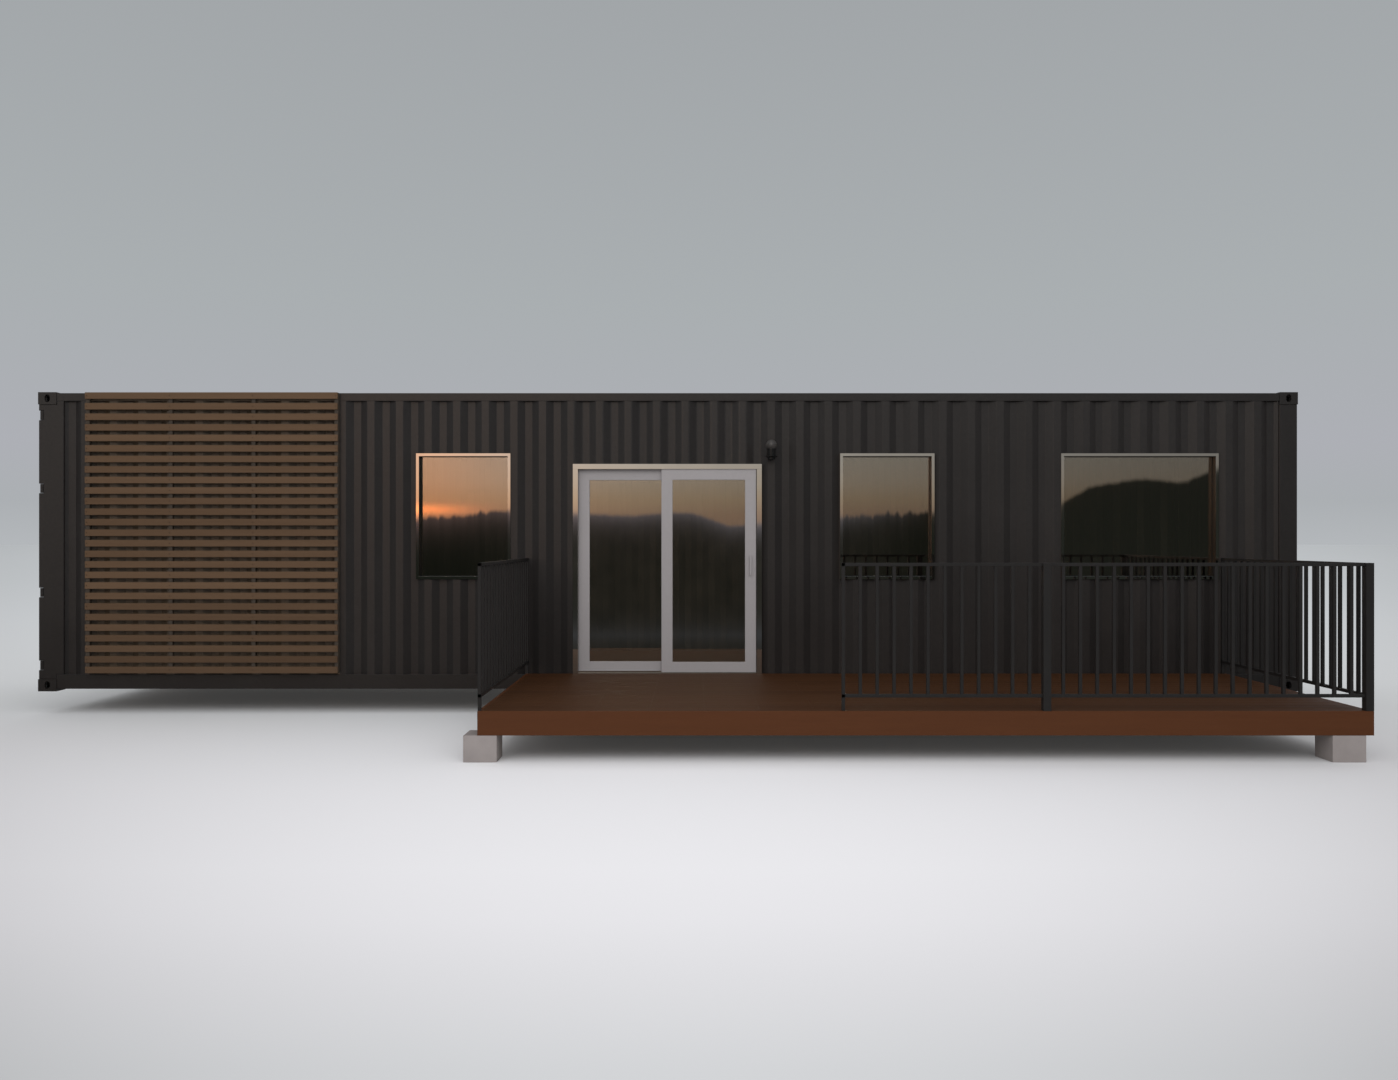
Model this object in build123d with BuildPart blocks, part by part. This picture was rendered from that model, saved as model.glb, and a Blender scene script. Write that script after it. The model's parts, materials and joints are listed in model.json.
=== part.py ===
"""A cabin made from a 40 ft high cube shipping container, with a patio door, three
fixed windows, a slat screen, a wall lamp and a railed timber deck.

Millimetres. +X runs along the container to the right as seen from the deck, +Y points
from the deck into the container, +Z is up. The origin is on the ground below the
middle of the container's long front side, which is also where the deck meets it.
"""
from build123d import *
from math import atan2, ceil, cos, degrees, floor, pi, sin
import os

os.makedirs("parts", exist_ok=True)

# Container envelope and what lifts it off the ground
container_length = 12192
container_width = 2438
container_height = 2896
block_height = 203
block_side = 254
plate_thickness = 10
plate_side = 150

# Corner castings
casting_length = 178
casting_width = 162
casting_height = 118
casting_wall = 28
casting_slot_height = 79
casting_slot_width = 51
casting_top_slot_length = 124
casting_top_slot_width = 64

# Frame rails and posts
frame_inset = 5
casting_rise = 9
casting_drop = 24
top_rail_height = 76
top_rail_depth = 60
rail_wall = 4
bottom_rail_height = 140
bottom_rail_flange = 48
door_post_width = 246
door_post_depth = 50
closed_post_depth = 110
header_underside = 143
end_beam_height = 134

# Pressed sheet of the walls, the roof and the door leaves
sheet_thickness = 2
wall_inset = 8
wall_pitch = 277
wall_flat = 70.5
wall_slope = 68
wall_depth = 36
first_wall_recess = 310
roof_pitch = 209
roof_flat = 91
roof_slope = 13.5
roof_depth = 20

# Floor
floor_thickness = 28
cross_member_pitch = 409
cross_member_flange = 45
cross_member_wall = 4.5

# Cargo doors at the left end
leaf_thickness = 50
leaf_recess = 45
leaf_gap = 5
leaf_frame_width = 100
leaf_rail_height = 120
leaf_ribs_depth = 30
hinge_heights = (251, 957, 1965, 2672)
hinge_notch_height = 91
hinge_height = 85
hinge_blade = 8
hinge_setback = 5
hinge_barrel_radius = 20
lock_bar_radius = 17
lock_bar_offsets = (278, 908)
lock_bar_overrun = 60
guide_heights = (330, 1080, 1830, 2480)
handle_height = 1260
handle_length = 280

# Patio door
door_left = -921
door_width = 1829
door_head_height = 2414
frame_proud = 12
frame_depth = 110
door_frame_face = 50
door_frame_lip = 6
door_frame_web = 14
sill_thickness = 6
track_height = 27
track_width = 6
panel_thickness = 38
panel_recess = 11
panel_gap = 10
panel_clearance = 5
stile_width = 107
panel_top_rail = 125
panel_bottom_rail = 100
panel_foot_clearance = 14
meeting_overlap = 109
pane_thickness = 6
pane_grip = 8
roller_radius = 8
roller_width = 6
roller_gap = 0.3
roller_pin_radius = 2.5
roller_slot_width = 16
roller_slot_depth = 33
pull_height = 190
pull_width = 18
pull_bar_depth = 10
pull_stand_off = 22
pull_centre_height = 1435

# Windows, all with the same sill and head
window_head_height = 2517
window_height = 1219
window_face = 28.5
window_bead = 3
window_bead_depth = 6
window_pane_recess = 78
small_window_width = 914
large_window_width = 1524
left_window_to_door = 603
door_to_middle_window = 757
right_window_to_end = 768

# Slat screen
screen_to_end = 478
screen_width = 2438
screen_bottom = 395
slat_count = 27
slat_pitch = 101.6
slat_height = 63.5
slat_thickness = 19
batten_depth = 38
batten_width = 38
batten_count = 4

# Wall lamp
door_to_lamp = 87
door_head_to_lamp = 38
lamp_reach = 92
lamp_foot_height = 20
lamp_plate_radius = 61
lamp_plate_thickness = 18
lamp_cup_radius = 40
lamp_cup_height = 64
lamp_globe_radius = 52
lamp_globe_rise = 38
lamp_glass = 3
lamp_rose_radius = 42
lamp_rose_thickness = 10
lamp_arm_radius = 10
lamp_bulb_radius = 24
lamp_neck_radius = 13
lamp_sides = 16

# Deck
deck_beyond_door = 452
deck_to_end = 703
deck_depth = 2438
deck_height = 387
fascia_height = 184
fascia_thickness = 25
board_thickness = 25
board_width = 139
board_gap = 3
joist_width = 38
joist_pitch = 406
left_block_overhang = 107
right_block_setback = 59

# Railing
railing_height = 1118
rail_section = 25.4
rail_lift = 100
baluster_pitch = 127
corner_post = 60
door_to_railing = 471
railing_to_mid_post = 1549

# Levels and planes that follow from the sizes above
left_end = -container_length / 2
right_end = container_length / 2
base_level = block_height + plate_thickness
top_level = base_level + container_height
rail_top = top_level - casting_rise
wall_top = rail_top - top_rail_height
rail_bottom = base_level + casting_drop
wall_bottom = rail_bottom + bottom_rail_height
floor_level = wall_bottom
header_bottom = top_level - header_underside
post_left = left_end + frame_inset
leaf_face = post_left + leaf_recess
post_right = right_end - frame_inset
casting_left = left_end + casting_length
casting_right = right_end - casting_length
wall_left = left_end + door_post_width
wall_right = casting_right
back_face = container_width
door_right = door_left + door_width
left_window = door_left - left_window_to_door - small_window_width
middle_window = door_right + door_to_middle_window
right_window = right_end - right_window_to_end - large_window_width
screen_left = left_end + screen_to_end
lamp_x = door_right + door_to_lamp
lamp_foot = door_head_height + door_head_to_lamp
window_sill_height = window_head_height - window_height
frame_front = wall_inset - frame_proud
frame_back = frame_front + frame_depth
deck_left = door_left - deck_beyond_door
deck_right = right_end - deck_to_end
deck_front = -deck_depth
joist_top = deck_height - board_thickness
fascia_bottom = deck_height - fascia_height
railing_top = deck_height + railing_height
front_railing_start = door_right + door_to_railing
mid_post_centre = front_railing_start + railing_to_mid_post


def block(x0, x1, y0, y1, z0, z1, mode=Mode.ADD):
    """A rectangular block between two corners, in the part being built."""
    with Locations(((x0 + x1) / 2, (y0 + y1) / 2, (z0 + z1) / 2)):
        Box(x1 - x0, y1 - y0, z1 - z0, mode=mode)


def pressed_line(start, end, recess, pitch, flat, slope, depth):
    """Points (along, depth) of one face of a pressed sheet, 0 at its crests."""
    reach = flat / 2 + slope

    def depth_at(along):
        off_recess = abs((along - recess + pitch / 2) % pitch - pitch / 2)
        share = (reach - off_recess) / slope
        return depth * min(max(share, 0), 1)

    first = ceil((start - recess - reach) / pitch)
    last = floor((end - recess + reach) / pitch)
    points = [(start, depth_at(start))]
    for number in range(first, last + 1):
        centre = recess + number * pitch
        for step in (-reach, -flat / 2, flat / 2, reach):
            along = centre + step
            if start < along < end:
                points.append((along, depth_at(along)))
    points.append((end, depth_at(end)))
    return points


def wall_outline(start, end, face, inward):
    """Plan outline of a side wall sheet whose crests are at Y = face."""
    line = pressed_line(start, end, left_end + first_wall_recess,
                        wall_pitch, wall_flat, wall_slope, wall_depth)
    outer = [(x, face + inward * y) for x, y in line]
    inner = [(x, face + inward * (y + sheet_thickness)) for x, y in reversed(line)]
    return outer + inner


def oblong(length, width, steps=4):
    """Outline of a round-ended slot, centred, with its length along the sketch's X."""
    radius = width / 2
    run = length / 2 - radius
    points = []
    for side in (1, -1):
        for step in range(steps + 1):
            turn = pi * (step / steps - 0.5)
            points.append((side * (run + radius * cos(turn)), side * radius * sin(turn)))
    return points


# Corner castings: hollow blocks with a slot in each outer face
side_slot = oblong(casting_slot_height, casting_slot_width)
flat_slot = oblong(casting_top_slot_length, casting_top_slot_width)
with BuildPart() as corner_castings:
    for x_side in (-1, 1):
        x_outer = x_side * container_length / 2
        x_middle = x_outer - x_side * casting_length / 2
        for y_side in (-1, 1):
            y_outer = container_width / 2 * (1 + y_side)
            y_middle = y_outer - y_side * casting_width / 2
            for z_side in (-1, 1):
                z_outer = base_level if z_side < 0 else top_level
                z_middle = z_outer - z_side * casting_height / 2
                with Locations((x_middle, y_middle, z_middle)):
                    Box(casting_length, casting_width, casting_height)
                    Box(casting_length - 2 * casting_wall, casting_width - 2 * casting_wall,
                        casting_height - 2 * casting_wall, mode=Mode.SUBTRACT)
                long_face = Plane((x_middle, y_outer, z_middle), x_dir=(0, 0, 1), z_dir=(0, y_side, 0))
                with BuildSketch(long_face):
                    Polygon(*side_slot)
                extrude(amount=-casting_wall, mode=Mode.SUBTRACT)
                end_face = Plane((x_outer, y_middle, z_middle), x_dir=(0, 0, 1), z_dir=(x_side, 0, 0))
                with BuildSketch(end_face):
                    Polygon(*side_slot)
                extrude(amount=-casting_wall, mode=Mode.SUBTRACT)
                flat_face = Plane((x_middle, y_middle, z_outer), x_dir=(1, 0, 0), z_dir=(0, 0, z_side))
                with BuildSketch(flat_face):
                    Polygon(*flat_slot)
                extrude(amount=-casting_wall, mode=Mode.SUBTRACT)
corner_castings.part.label = "corner_castings"
export_step(corner_castings.part, "parts/corner_castings.step")

# Door end posts, with a notch for each hinge and a wing out to the wall sheet
post_foot = base_level + casting_height
post_head = top_level - casting_height
with BuildPart() as door_end_posts:
    for outer, inner in ((frame_inset, frame_inset + door_post_depth),
                         (back_face - frame_inset, back_face - frame_inset - door_post_depth)):
        low, high = min(outer, inner), max(outer, inner)
        block(post_left, casting_left, low, high, post_foot, post_head)
        block(casting_left, wall_left, low, high, wall_bottom, wall_top)
        for height in hinge_heights:
            notch_middle = base_level + height
            block(post_left, leaf_face, low, high,
                  notch_middle - hinge_notch_height / 2, notch_middle + hinge_notch_height / 2,
                  mode=Mode.SUBTRACT)
door_end_posts.part.label = "door_end_posts"
export_step(door_end_posts.part, "parts/door_end_posts.step")

# Closed end posts
with BuildPart() as closed_end_posts:
    block(casting_right, post_right, frame_inset, closed_post_depth, post_foot, post_head)
    block(casting_right, post_right, back_face - closed_post_depth, back_face - frame_inset,
          post_foot, post_head)
closed_end_posts.part.label = "closed_end_posts"
export_step(closed_end_posts.part, "parts/closed_end_posts.step")

# Top side rails: square tube between the castings
for node, low in (("top_rail_front", frame_inset),
                  ("top_rail_back", back_face - frame_inset - top_rail_depth)):
    tube_section = Plane.YZ.offset(casting_left)
    with BuildPart() as top_rail:
        with BuildSketch(tube_section):
            with Locations((low + top_rail_depth / 2, rail_top - top_rail_height / 2)):
                Rectangle(top_rail_depth, top_rail_height)
                Rectangle(top_rail_depth - 2 * rail_wall, top_rail_height - 2 * rail_wall,
                          mode=Mode.SUBTRACT)
        extrude(amount=casting_right - casting_left)
    top_rail.part.label = node
    export_step(top_rail.part, f"parts/{node}.step")

# Bottom side rails: channels with their backs outwards
for node, back, side in (("bottom_rail_front", frame_inset, 1),
                         ("bottom_rail_back", back_face - frame_inset, -1)):
    tip = back + side * bottom_rail_flange
    inner_back = back + side * rail_wall
    with BuildPart() as bottom_rail:
        with BuildSketch(Plane.YZ.offset(casting_left)):
            with BuildLine():
                Polyline((back, rail_bottom), (tip, rail_bottom), (tip, rail_bottom + rail_wall),
                         (inner_back, rail_bottom + rail_wall), (inner_back, wall_bottom - rail_wall),
                         (tip, wall_bottom - rail_wall), (tip, wall_bottom), (back, wall_bottom),
                         close=True)
            make_face()
        extrude(amount=casting_right - casting_left)
    bottom_rail.part.label = node
    export_step(bottom_rail.part, f"parts/{node}.step")

# Door header and door sill, each with a keeper for every locking bar
bar_places = [offset for offset in lock_bar_offsets]
bar_places += [container_width - offset for offset in reversed(lock_bar_offsets)]
bar_centre = leaf_face - lock_bar_radius - rail_wall
keeper_width = 4 * lock_bar_radius
beam_back = casting_left
beam_ends = (casting_width, container_width - casting_width)
lintel_ends = (frame_inset + door_post_depth, back_face - frame_inset - door_post_depth)
with BuildPart() as door_header:
    block(leaf_face, beam_back, *beam_ends, header_bottom, rail_top)
    block(leaf_face, beam_back, *lintel_ends, header_bottom, post_head)
    for place in bar_places:
        block(leaf_face - rail_wall, leaf_face, place - keeper_width / 2, place + keeper_width / 2,
              header_bottom + rail_wall, header_bottom + keeper_width)
door_header.part.label = "door_header"
export_step(door_header.part, "parts/door_header.step")

with BuildPart() as door_sill:
    block(leaf_face, beam_back, *beam_ends, rail_bottom, floor_level)
    block(leaf_face, beam_back, *lintel_ends, post_foot, floor_level)
    for place in bar_places:
        block(leaf_face - rail_wall, leaf_face, place - keeper_width / 2, place + keeper_width / 2,
              floor_level - keeper_width, floor_level - rail_wall)
door_sill.part.label = "door_sill"
export_step(door_sill.part, "parts/door_sill.step")

# Closed end rails
end_wall_top = rail_top - end_beam_height
end_rail_ends = (closed_post_depth, container_width - closed_post_depth)
with BuildPart() as closed_end_top_rail:
    block(casting_right, post_right, *beam_ends, end_wall_top, rail_top)
    block(casting_right, post_right, *end_rail_ends, end_wall_top, post_head)
closed_end_top_rail.part.label = "closed_end_top_rail"
export_step(closed_end_top_rail.part, "parts/closed_end_top_rail.step")

with BuildPart() as closed_end_bottom_rail:
    block(casting_right, post_right, *beam_ends, rail_bottom, wall_bottom)
    block(casting_right, post_right, *end_rail_ends, post_foot, wall_bottom)
closed_end_bottom_rail.part.label = "closed_end_bottom_rail"
export_step(closed_end_bottom_rail.part, "parts/closed_end_bottom_rail.step")

# Floor: channels across, standing on the lower flanges of the side rails, and plywood
member_bottom = rail_bottom + rail_wall
member_top = floor_level - floor_thickness
member_start = frame_inset + rail_wall
member_length = container_width - 2 * member_start
member_count = int((casting_right - casting_left - cross_member_flange) // cross_member_pitch)
first_member = -(member_count - 1) / 2 * cross_member_pitch
with BuildPart() as cross_members:
    with BuildSketch(Plane.XZ.offset(-(container_width - member_start))):
        for number in range(member_count):
            middle = first_member + number * cross_member_pitch
            web = middle - cross_member_flange / 2
            tip = middle + cross_member_flange / 2
            with BuildLine():
                Polyline((web, member_bottom), (tip, member_bottom),
                         (tip, member_bottom + cross_member_wall),
                         (web + cross_member_wall, member_bottom + cross_member_wall),
                         (web + cross_member_wall, member_top - cross_member_wall),
                         (tip, member_top - cross_member_wall), (tip, member_top),
                         (web, member_top), close=True)
            make_face()
    extrude(amount=member_length)
cross_members.part.label = "cross_members"
export_step(cross_members.part, "parts/cross_members.step")

floor_edge = frame_inset + bottom_rail_flange
with BuildPart() as plywood_floor:
    block(casting_left, casting_right, floor_edge, container_width - floor_edge, member_top, floor_level)
plywood_floor.part.label = "plywood_floor"
export_step(plywood_floor.part, "parts/plywood_floor.step")

# Roof: one sheet pressed across its width, welded between the top rails
roof_edge = frame_inset + top_rail_depth
roof_line = pressed_line(casting_left, casting_right, 0, roof_pitch, roof_flat, roof_slope, roof_depth)
roof_outer = [(x, rail_top - drop) for x, drop in roof_line]
roof_inner = [(x, rail_top - drop - sheet_thickness) for x, drop in reversed(roof_line)]
with BuildPart() as roof_sheet:
    with BuildSketch(Plane.XZ.offset(-(container_width - roof_edge))):
        with BuildLine():
            Polyline(*roof_outer, *roof_inner, close=True)
        make_face()
    extrude(amount=container_width - 2 * roof_edge)
roof_sheet.part.label = "roof_sheet"
export_step(roof_sheet.part, "parts/roof_sheet.step")

# Back wall
with BuildPart() as back_wall:
    with BuildSketch(Plane.XY.offset(wall_bottom)):
        with BuildLine():
            Polyline(*wall_outline(wall_left, wall_right, back_face - wall_inset, -1), close=True)
        make_face()
    extrude(amount=wall_top - wall_bottom)
back_wall.part.label = "back_wall"
export_step(back_wall.part, "parts/back_wall.step")

# Closed end wall, pressed like the side walls
end_line = pressed_line(*end_rail_ends, container_width / 2, wall_pitch, wall_flat, wall_slope, wall_depth)
end_face_x = right_end - wall_inset
end_outer = [(end_face_x - depth, y) for y, depth in end_line]
end_inner = [(end_face_x - depth - sheet_thickness, y) for y, depth in reversed(end_line)]
with BuildPart() as closed_end_wall:
    with BuildSketch(Plane.XY.offset(wall_bottom)):
        with BuildLine():
            Polyline(*end_outer, *end_inner, close=True)
        make_face()
    extrude(amount=end_wall_top - wall_bottom)
closed_end_wall.part.label = "closed_end_wall"
export_step(closed_end_wall.part, "parts/closed_end_wall.step")

# Front wall in three sheets round the patio door, with the window openings cut out
windows = (("left", left_window, small_window_width),
           ("middle", middle_window, small_window_width),
           ("right", right_window, large_window_width))
front_sheets = (("front_wall_left", wall_left, door_left, wall_bottom),
                ("front_wall_over_door", door_left, door_right, door_head_height),
                ("front_wall_right", door_right, wall_right, wall_bottom))
for node, start, end, bottom in front_sheets:
    with BuildPart() as front_wall:
        with BuildSketch(Plane.XY.offset(bottom)):
            with BuildLine():
                Polyline(*wall_outline(start, end, wall_inset, 1), close=True)
            make_face()
        extrude(amount=wall_top - bottom)
        for name, left, width in windows:
            if start < left < end:
                block(left, left + width, frame_front, frame_back,
                      window_sill_height, window_head_height, mode=Mode.SUBTRACT)
    front_wall.part.label = node
    export_step(front_wall.part, f"parts/{node}.step")

# Cargo door leaves: a frame round a pressed panel, shut against the header and sill
leaf_bottom = floor_level + leaf_gap
leaf_top = header_bottom - leaf_gap
leaf_middle = container_width / 2
leaf_outer_edge = lintel_ends[0] + leaf_gap
leaf_back = leaf_face + leaf_thickness
for node, y0, y1 in (("cargo_door_front_leaf", leaf_outer_edge, leaf_middle - leaf_gap / 2),
                     ("cargo_door_back_leaf", leaf_middle + leaf_gap / 2,
                      container_width - leaf_outer_edge)):
    panel_y0 = y0 + leaf_frame_width
    panel_y1 = y1 - leaf_frame_width
    line = pressed_line(panel_y0, panel_y1, (y0 + y1) / 2, wall_pitch, wall_flat, wall_slope,
                        leaf_ribs_depth)
    outer = [(leaf_face + depth, y) for y, depth in line]
    inner = [(leaf_face + depth + sheet_thickness, y) for y, depth in reversed(line)]
    with BuildPart() as cargo_leaf:
        block(leaf_face, leaf_back, y0, y1, leaf_bottom, leaf_top)
        block(leaf_face, leaf_back, panel_y0, panel_y1,
              leaf_bottom + leaf_rail_height, leaf_top - leaf_rail_height, mode=Mode.SUBTRACT)
        with BuildSketch(Plane.XY.offset(leaf_bottom + leaf_rail_height)):
            with BuildLine():
                Polyline(*outer, *inner, close=True)
            make_face()
        extrude(amount=leaf_top - leaf_bottom - 2 * leaf_rail_height)
    cargo_leaf.part.label = node
    export_step(cargo_leaf.part, f"parts/{node}.step")

# Cargo door hinges: a barrel that fills the post's notch and a blade on the leaf's face
barrel_x = post_left + hinge_setback + hinge_barrel_radius
blade_reach = leaf_outer_edge + leaf_frame_width
with BuildPart() as cargo_door_hinges:
    for height in hinge_heights:
        hinge_bottom = base_level + height - hinge_height / 2
        for datum, side in ((0, 1), (container_width, -1)):
            barrel_y = datum + side * (frame_inset + hinge_barrel_radius)
            blade_y = sorted((barrel_y, datum + side * blade_reach))
            block(leaf_face - hinge_blade, leaf_face, *blade_y, hinge_bottom, hinge_bottom + hinge_height)
            with BuildSketch(Plane((barrel_x, barrel_y, hinge_bottom))):
                RegularPolygon(hinge_barrel_radius, 12)
            extrude(amount=hinge_height)
cargo_door_hinges.part.label = "cargo_door_hinges"
export_step(cargo_door_hinges.part, "parts/cargo_door_hinges.step")

# Locking bars: a round bar in guides, with a cam at each end and a handle
bar_bottom = leaf_bottom - lock_bar_overrun
bar_top = leaf_top + lock_bar_overrun
cam_back = leaf_face - rail_wall
guide_height = 3 * lock_bar_radius
with BuildPart() as locking_bars:
    for number, place in enumerate(bar_places):
        with BuildSketch(Plane((bar_centre, place, bar_bottom))):
            RegularPolygon(lock_bar_radius, 12)
        extrude(amount=bar_top - bar_bottom)
        for height in guide_heights:
            middle = base_level + height
            block(bar_centre, leaf_face, place - 2 * lock_bar_radius, place + 2 * lock_bar_radius,
                  middle - guide_height / 2, middle + guide_height / 2)
        for low in (bar_bottom, bar_top - guide_height):
            block(bar_centre - lock_bar_radius / 2, cam_back, place - 1.5 * lock_bar_radius,
                  place + 1.5 * lock_bar_radius, low, low + guide_height)
        swing = 1 if number % 2 == 0 else -1
        handle_low = base_level + handle_height
        handle_ends = sorted((place, place + swing * handle_length))
        block(bar_centre - lock_bar_radius / 2, bar_centre + lock_bar_radius / 4, *handle_ends,
              handle_low, handle_low + 2 * lock_bar_radius)
        block(bar_centre - lock_bar_radius / 2, leaf_face,
              place + swing * handle_length - lock_bar_radius,
              place + swing * handle_length + lock_bar_radius,
              handle_low - lock_bar_radius, handle_low + 3 * lock_bar_radius)
locking_bars.part.label = "locking_bars"
export_step(locking_bars.part, "parts/locking_bars.step")

# Patio door frame: channel head over both tracks, two jambs and a sill with its tracks
sliding_front = frame_front + panel_recess
sliding_back = sliding_front + panel_thickness
fixed_front = sliding_back + panel_gap
fixed_back = fixed_front + panel_thickness
jamb_bottom = wall_bottom + sill_thickness
head_bottom = door_head_height - door_frame_face
divider = (fixed_front - panel_clearance, fixed_front)
with BuildPart() as patio_door_head:
    block(door_left, door_right, frame_front, frame_back, head_bottom, door_head_height)
    block(door_left + door_frame_face, door_right - door_frame_face,
          frame_front + door_frame_lip, divider[0],
          head_bottom, door_head_height - door_frame_web, mode=Mode.SUBTRACT)
    block(door_left + door_frame_face, door_right - door_frame_face,
          divider[1], fixed_back,
          head_bottom, door_head_height - door_frame_web, mode=Mode.SUBTRACT)
patio_door_head.part.label = "patio_door_head"
export_step(patio_door_head.part, "parts/patio_door_head.step")

for node, x0, x1 in (("patio_door_left_jamb", door_left, door_left + door_frame_face),
                     ("patio_door_right_jamb", door_right - door_frame_face, door_right)):
    with BuildPart() as patio_door_jamb:
        block(x0, x1, frame_front, frame_back, jamb_bottom, head_bottom)
    patio_door_jamb.part.label = node
    export_step(patio_door_jamb.part, f"parts/{node}.step")

track_middle = (sliding_front + sliding_back) / 2
sill_lip = jamb_bottom + panel_foot_clearance - panel_clearance
with BuildPart() as patio_door_sill:
    block(door_left, door_right, frame_front, frame_back, wall_bottom, jamb_bottom)
    block(door_left + door_frame_face, door_right - door_frame_face,
          track_middle - track_width / 2, track_middle + track_width / 2,
          jamb_bottom, jamb_bottom + track_height)
    block(door_left + door_frame_face, door_right - door_frame_face,
          frame_front, frame_front + door_frame_lip, jamb_bottom, sill_lip)
patio_door_sill.part.label = "patio_door_sill"
export_step(patio_door_sill.part, "parts/patio_door_sill.step")

# Door panels: stiles and rails grooved round a pane
clear_left = door_left + door_frame_face
clear_right = door_right - door_frame_face
panel_width = (clear_right - clear_left - panel_clearance + meeting_overlap) / 2
fixed_bottom = jamb_bottom
fixed_top = door_head_height - door_frame_web
sliding_bottom = jamb_bottom + panel_foot_clearance
sliding_top = fixed_top - 3 * panel_clearance
glass_bottom = sliding_bottom + panel_bottom_rail
glass_top = sliding_top - panel_top_rail
sliding_right = clear_right - panel_clearance
panels = (("fixed_door_panel", "fixed_door_glass", clear_left, fixed_front, fixed_bottom, fixed_top),
          ("sliding_door_panel", "sliding_door_glass", sliding_right - panel_width, sliding_front,
           sliding_bottom, sliding_top))
for node, glass_node, left, front, bottom, top in panels:
    middle = front + panel_thickness / 2
    pane = (left + stile_width - pane_grip, left + panel_width - stile_width + pane_grip,
            middle - pane_thickness / 2, middle + pane_thickness / 2,
            glass_bottom - pane_grip, glass_top + pane_grip)
    with BuildPart() as door_panel:
        block(left, left + panel_width, front, front + panel_thickness, bottom, top)
        block(left + stile_width, left + panel_width - stile_width, front, front + panel_thickness,
              glass_bottom, glass_top, mode=Mode.SUBTRACT)
        block(*pane, mode=Mode.SUBTRACT)
        if front == sliding_front:
            block(left, left + panel_width, track_middle - roller_slot_width / 2,
                  track_middle + roller_slot_width / 2, bottom, bottom + roller_slot_depth,
                  mode=Mode.SUBTRACT)
    door_panel.part.label = node
    export_step(door_panel.part, f"parts/{node}.step")
    with BuildPart() as door_pane:
        block(*pane)
    door_pane.part.label = glass_node
    export_step(door_pane.part, f"parts/{glass_node}.step")

# Rollers of the sliding panel, on pins in the slot along its foot
roller_centre = jamb_bottom + track_height + roller_gap + roller_radius
with BuildPart() as sliding_door_rollers:
    for x in (sliding_right - panel_width + stile_width, sliding_right - stile_width):
        with BuildSketch(Plane((x, track_middle, roller_centre), x_dir=(1, 0, 0), z_dir=(0, 1, 0))):
            RegularPolygon(roller_radius, 24)
        extrude(amount=roller_width / 2, both=True)
        with BuildSketch(Plane((x, track_middle, roller_centre), x_dir=(1, 0, 0), z_dir=(0, 1, 0))):
            RegularPolygon(roller_pin_radius, 12)
        extrude(amount=roller_slot_width / 2, both=True)
sliding_door_rollers.part.label = "sliding_door_rollers"
export_step(sliding_door_rollers.part, "parts/sliding_door_rollers.step")

# Pull handle: an upright bar on two short feet
pull_x = sliding_right - stile_width / 2
pull_face = sliding_front - pull_stand_off
with BuildPart() as sliding_door_pull:
    block(pull_x - pull_width / 2, pull_x + pull_width / 2, pull_face - pull_bar_depth, pull_face,
          pull_centre_height - pull_height / 2, pull_centre_height + pull_height / 2)
    fillet(sliding_door_pull.edges().filter_by(Axis.Z), pull_bar_depth / 3)
    for side in (-1, 1):
        foot = pull_centre_height + side * (pull_height / 2 - pull_width)
        block(pull_x - pull_width / 3, pull_x + pull_width / 3, pull_face, sliding_front,
              foot - pull_width / 2, foot + pull_width / 2)
sliding_door_pull.part.label = "sliding_door_pull"
export_step(sliding_door_pull.part, "parts/sliding_door_pull.step")

# Windows: a deep metal frame through the wall, with a bead that grips one pane
pane_front = frame_front + window_pane_recess
pane_back = pane_front + pane_thickness
for name, left, width in windows:
    right = left + width
    inner = (left + window_face, right - window_face)
    bead = (inner[0] + window_bead, inner[1] - window_bead)
    inner_z = (window_sill_height + window_face, window_head_height - window_face)
    bead_z = (inner_z[0] + window_bead, inner_z[1] - window_bead)
    grip = (bead[0] - pane_grip, bead[1] + pane_grip)
    grip_z = (bead_z[0] - pane_grip, bead_z[1] + pane_grip)
    with BuildPart() as window_frame:
        block(left, right, frame_front, frame_back, window_sill_height, window_head_height)
        block(*inner, frame_front, pane_front - window_bead_depth, *inner_z, mode=Mode.SUBTRACT)
        block(*inner, pane_back + window_bead_depth, frame_back, *inner_z, mode=Mode.SUBTRACT)
        block(*bead, frame_front, frame_back, *bead_z, mode=Mode.SUBTRACT)
        block(*grip, pane_front, pane_back, *grip_z, mode=Mode.SUBTRACT)
    window_frame.part.label = f"{name}_window_frame"
    export_step(window_frame.part, f"parts/{name}_window_frame.step")
    with BuildPart() as window_pane:
        block(*grip, pane_front, pane_back, *grip_z)
    window_pane.part.label = f"{name}_window_pane"
    export_step(window_pane.part, f"parts/{name}_window_pane.step")

# Slat screen: upright battens on the wall and level slats across them
batten_front = frame_inset - batten_depth
screen_top = screen_bottom + (slat_count - 1) * slat_pitch + slat_height
batten_span = screen_width - batten_width
with BuildPart() as screen_battens:
    for number in range(batten_count):
        left = screen_left + number * batten_span / (batten_count - 1)
        block(left, left + batten_width, batten_front, frame_inset, screen_bottom, screen_top)
screen_battens.part.label = "screen_battens"
export_step(screen_battens.part, "parts/screen_battens.step")

with BuildPart() as screen_slats:
    for number in range(slat_count):
        bottom = screen_bottom + number * slat_pitch
        block(screen_left, screen_left + screen_width, batten_front - slat_thickness, batten_front,
              bottom, bottom + slat_height)
screen_slats.part.label = "screen_slats"
export_step(screen_slats.part, "parts/screen_slats.step")

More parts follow.
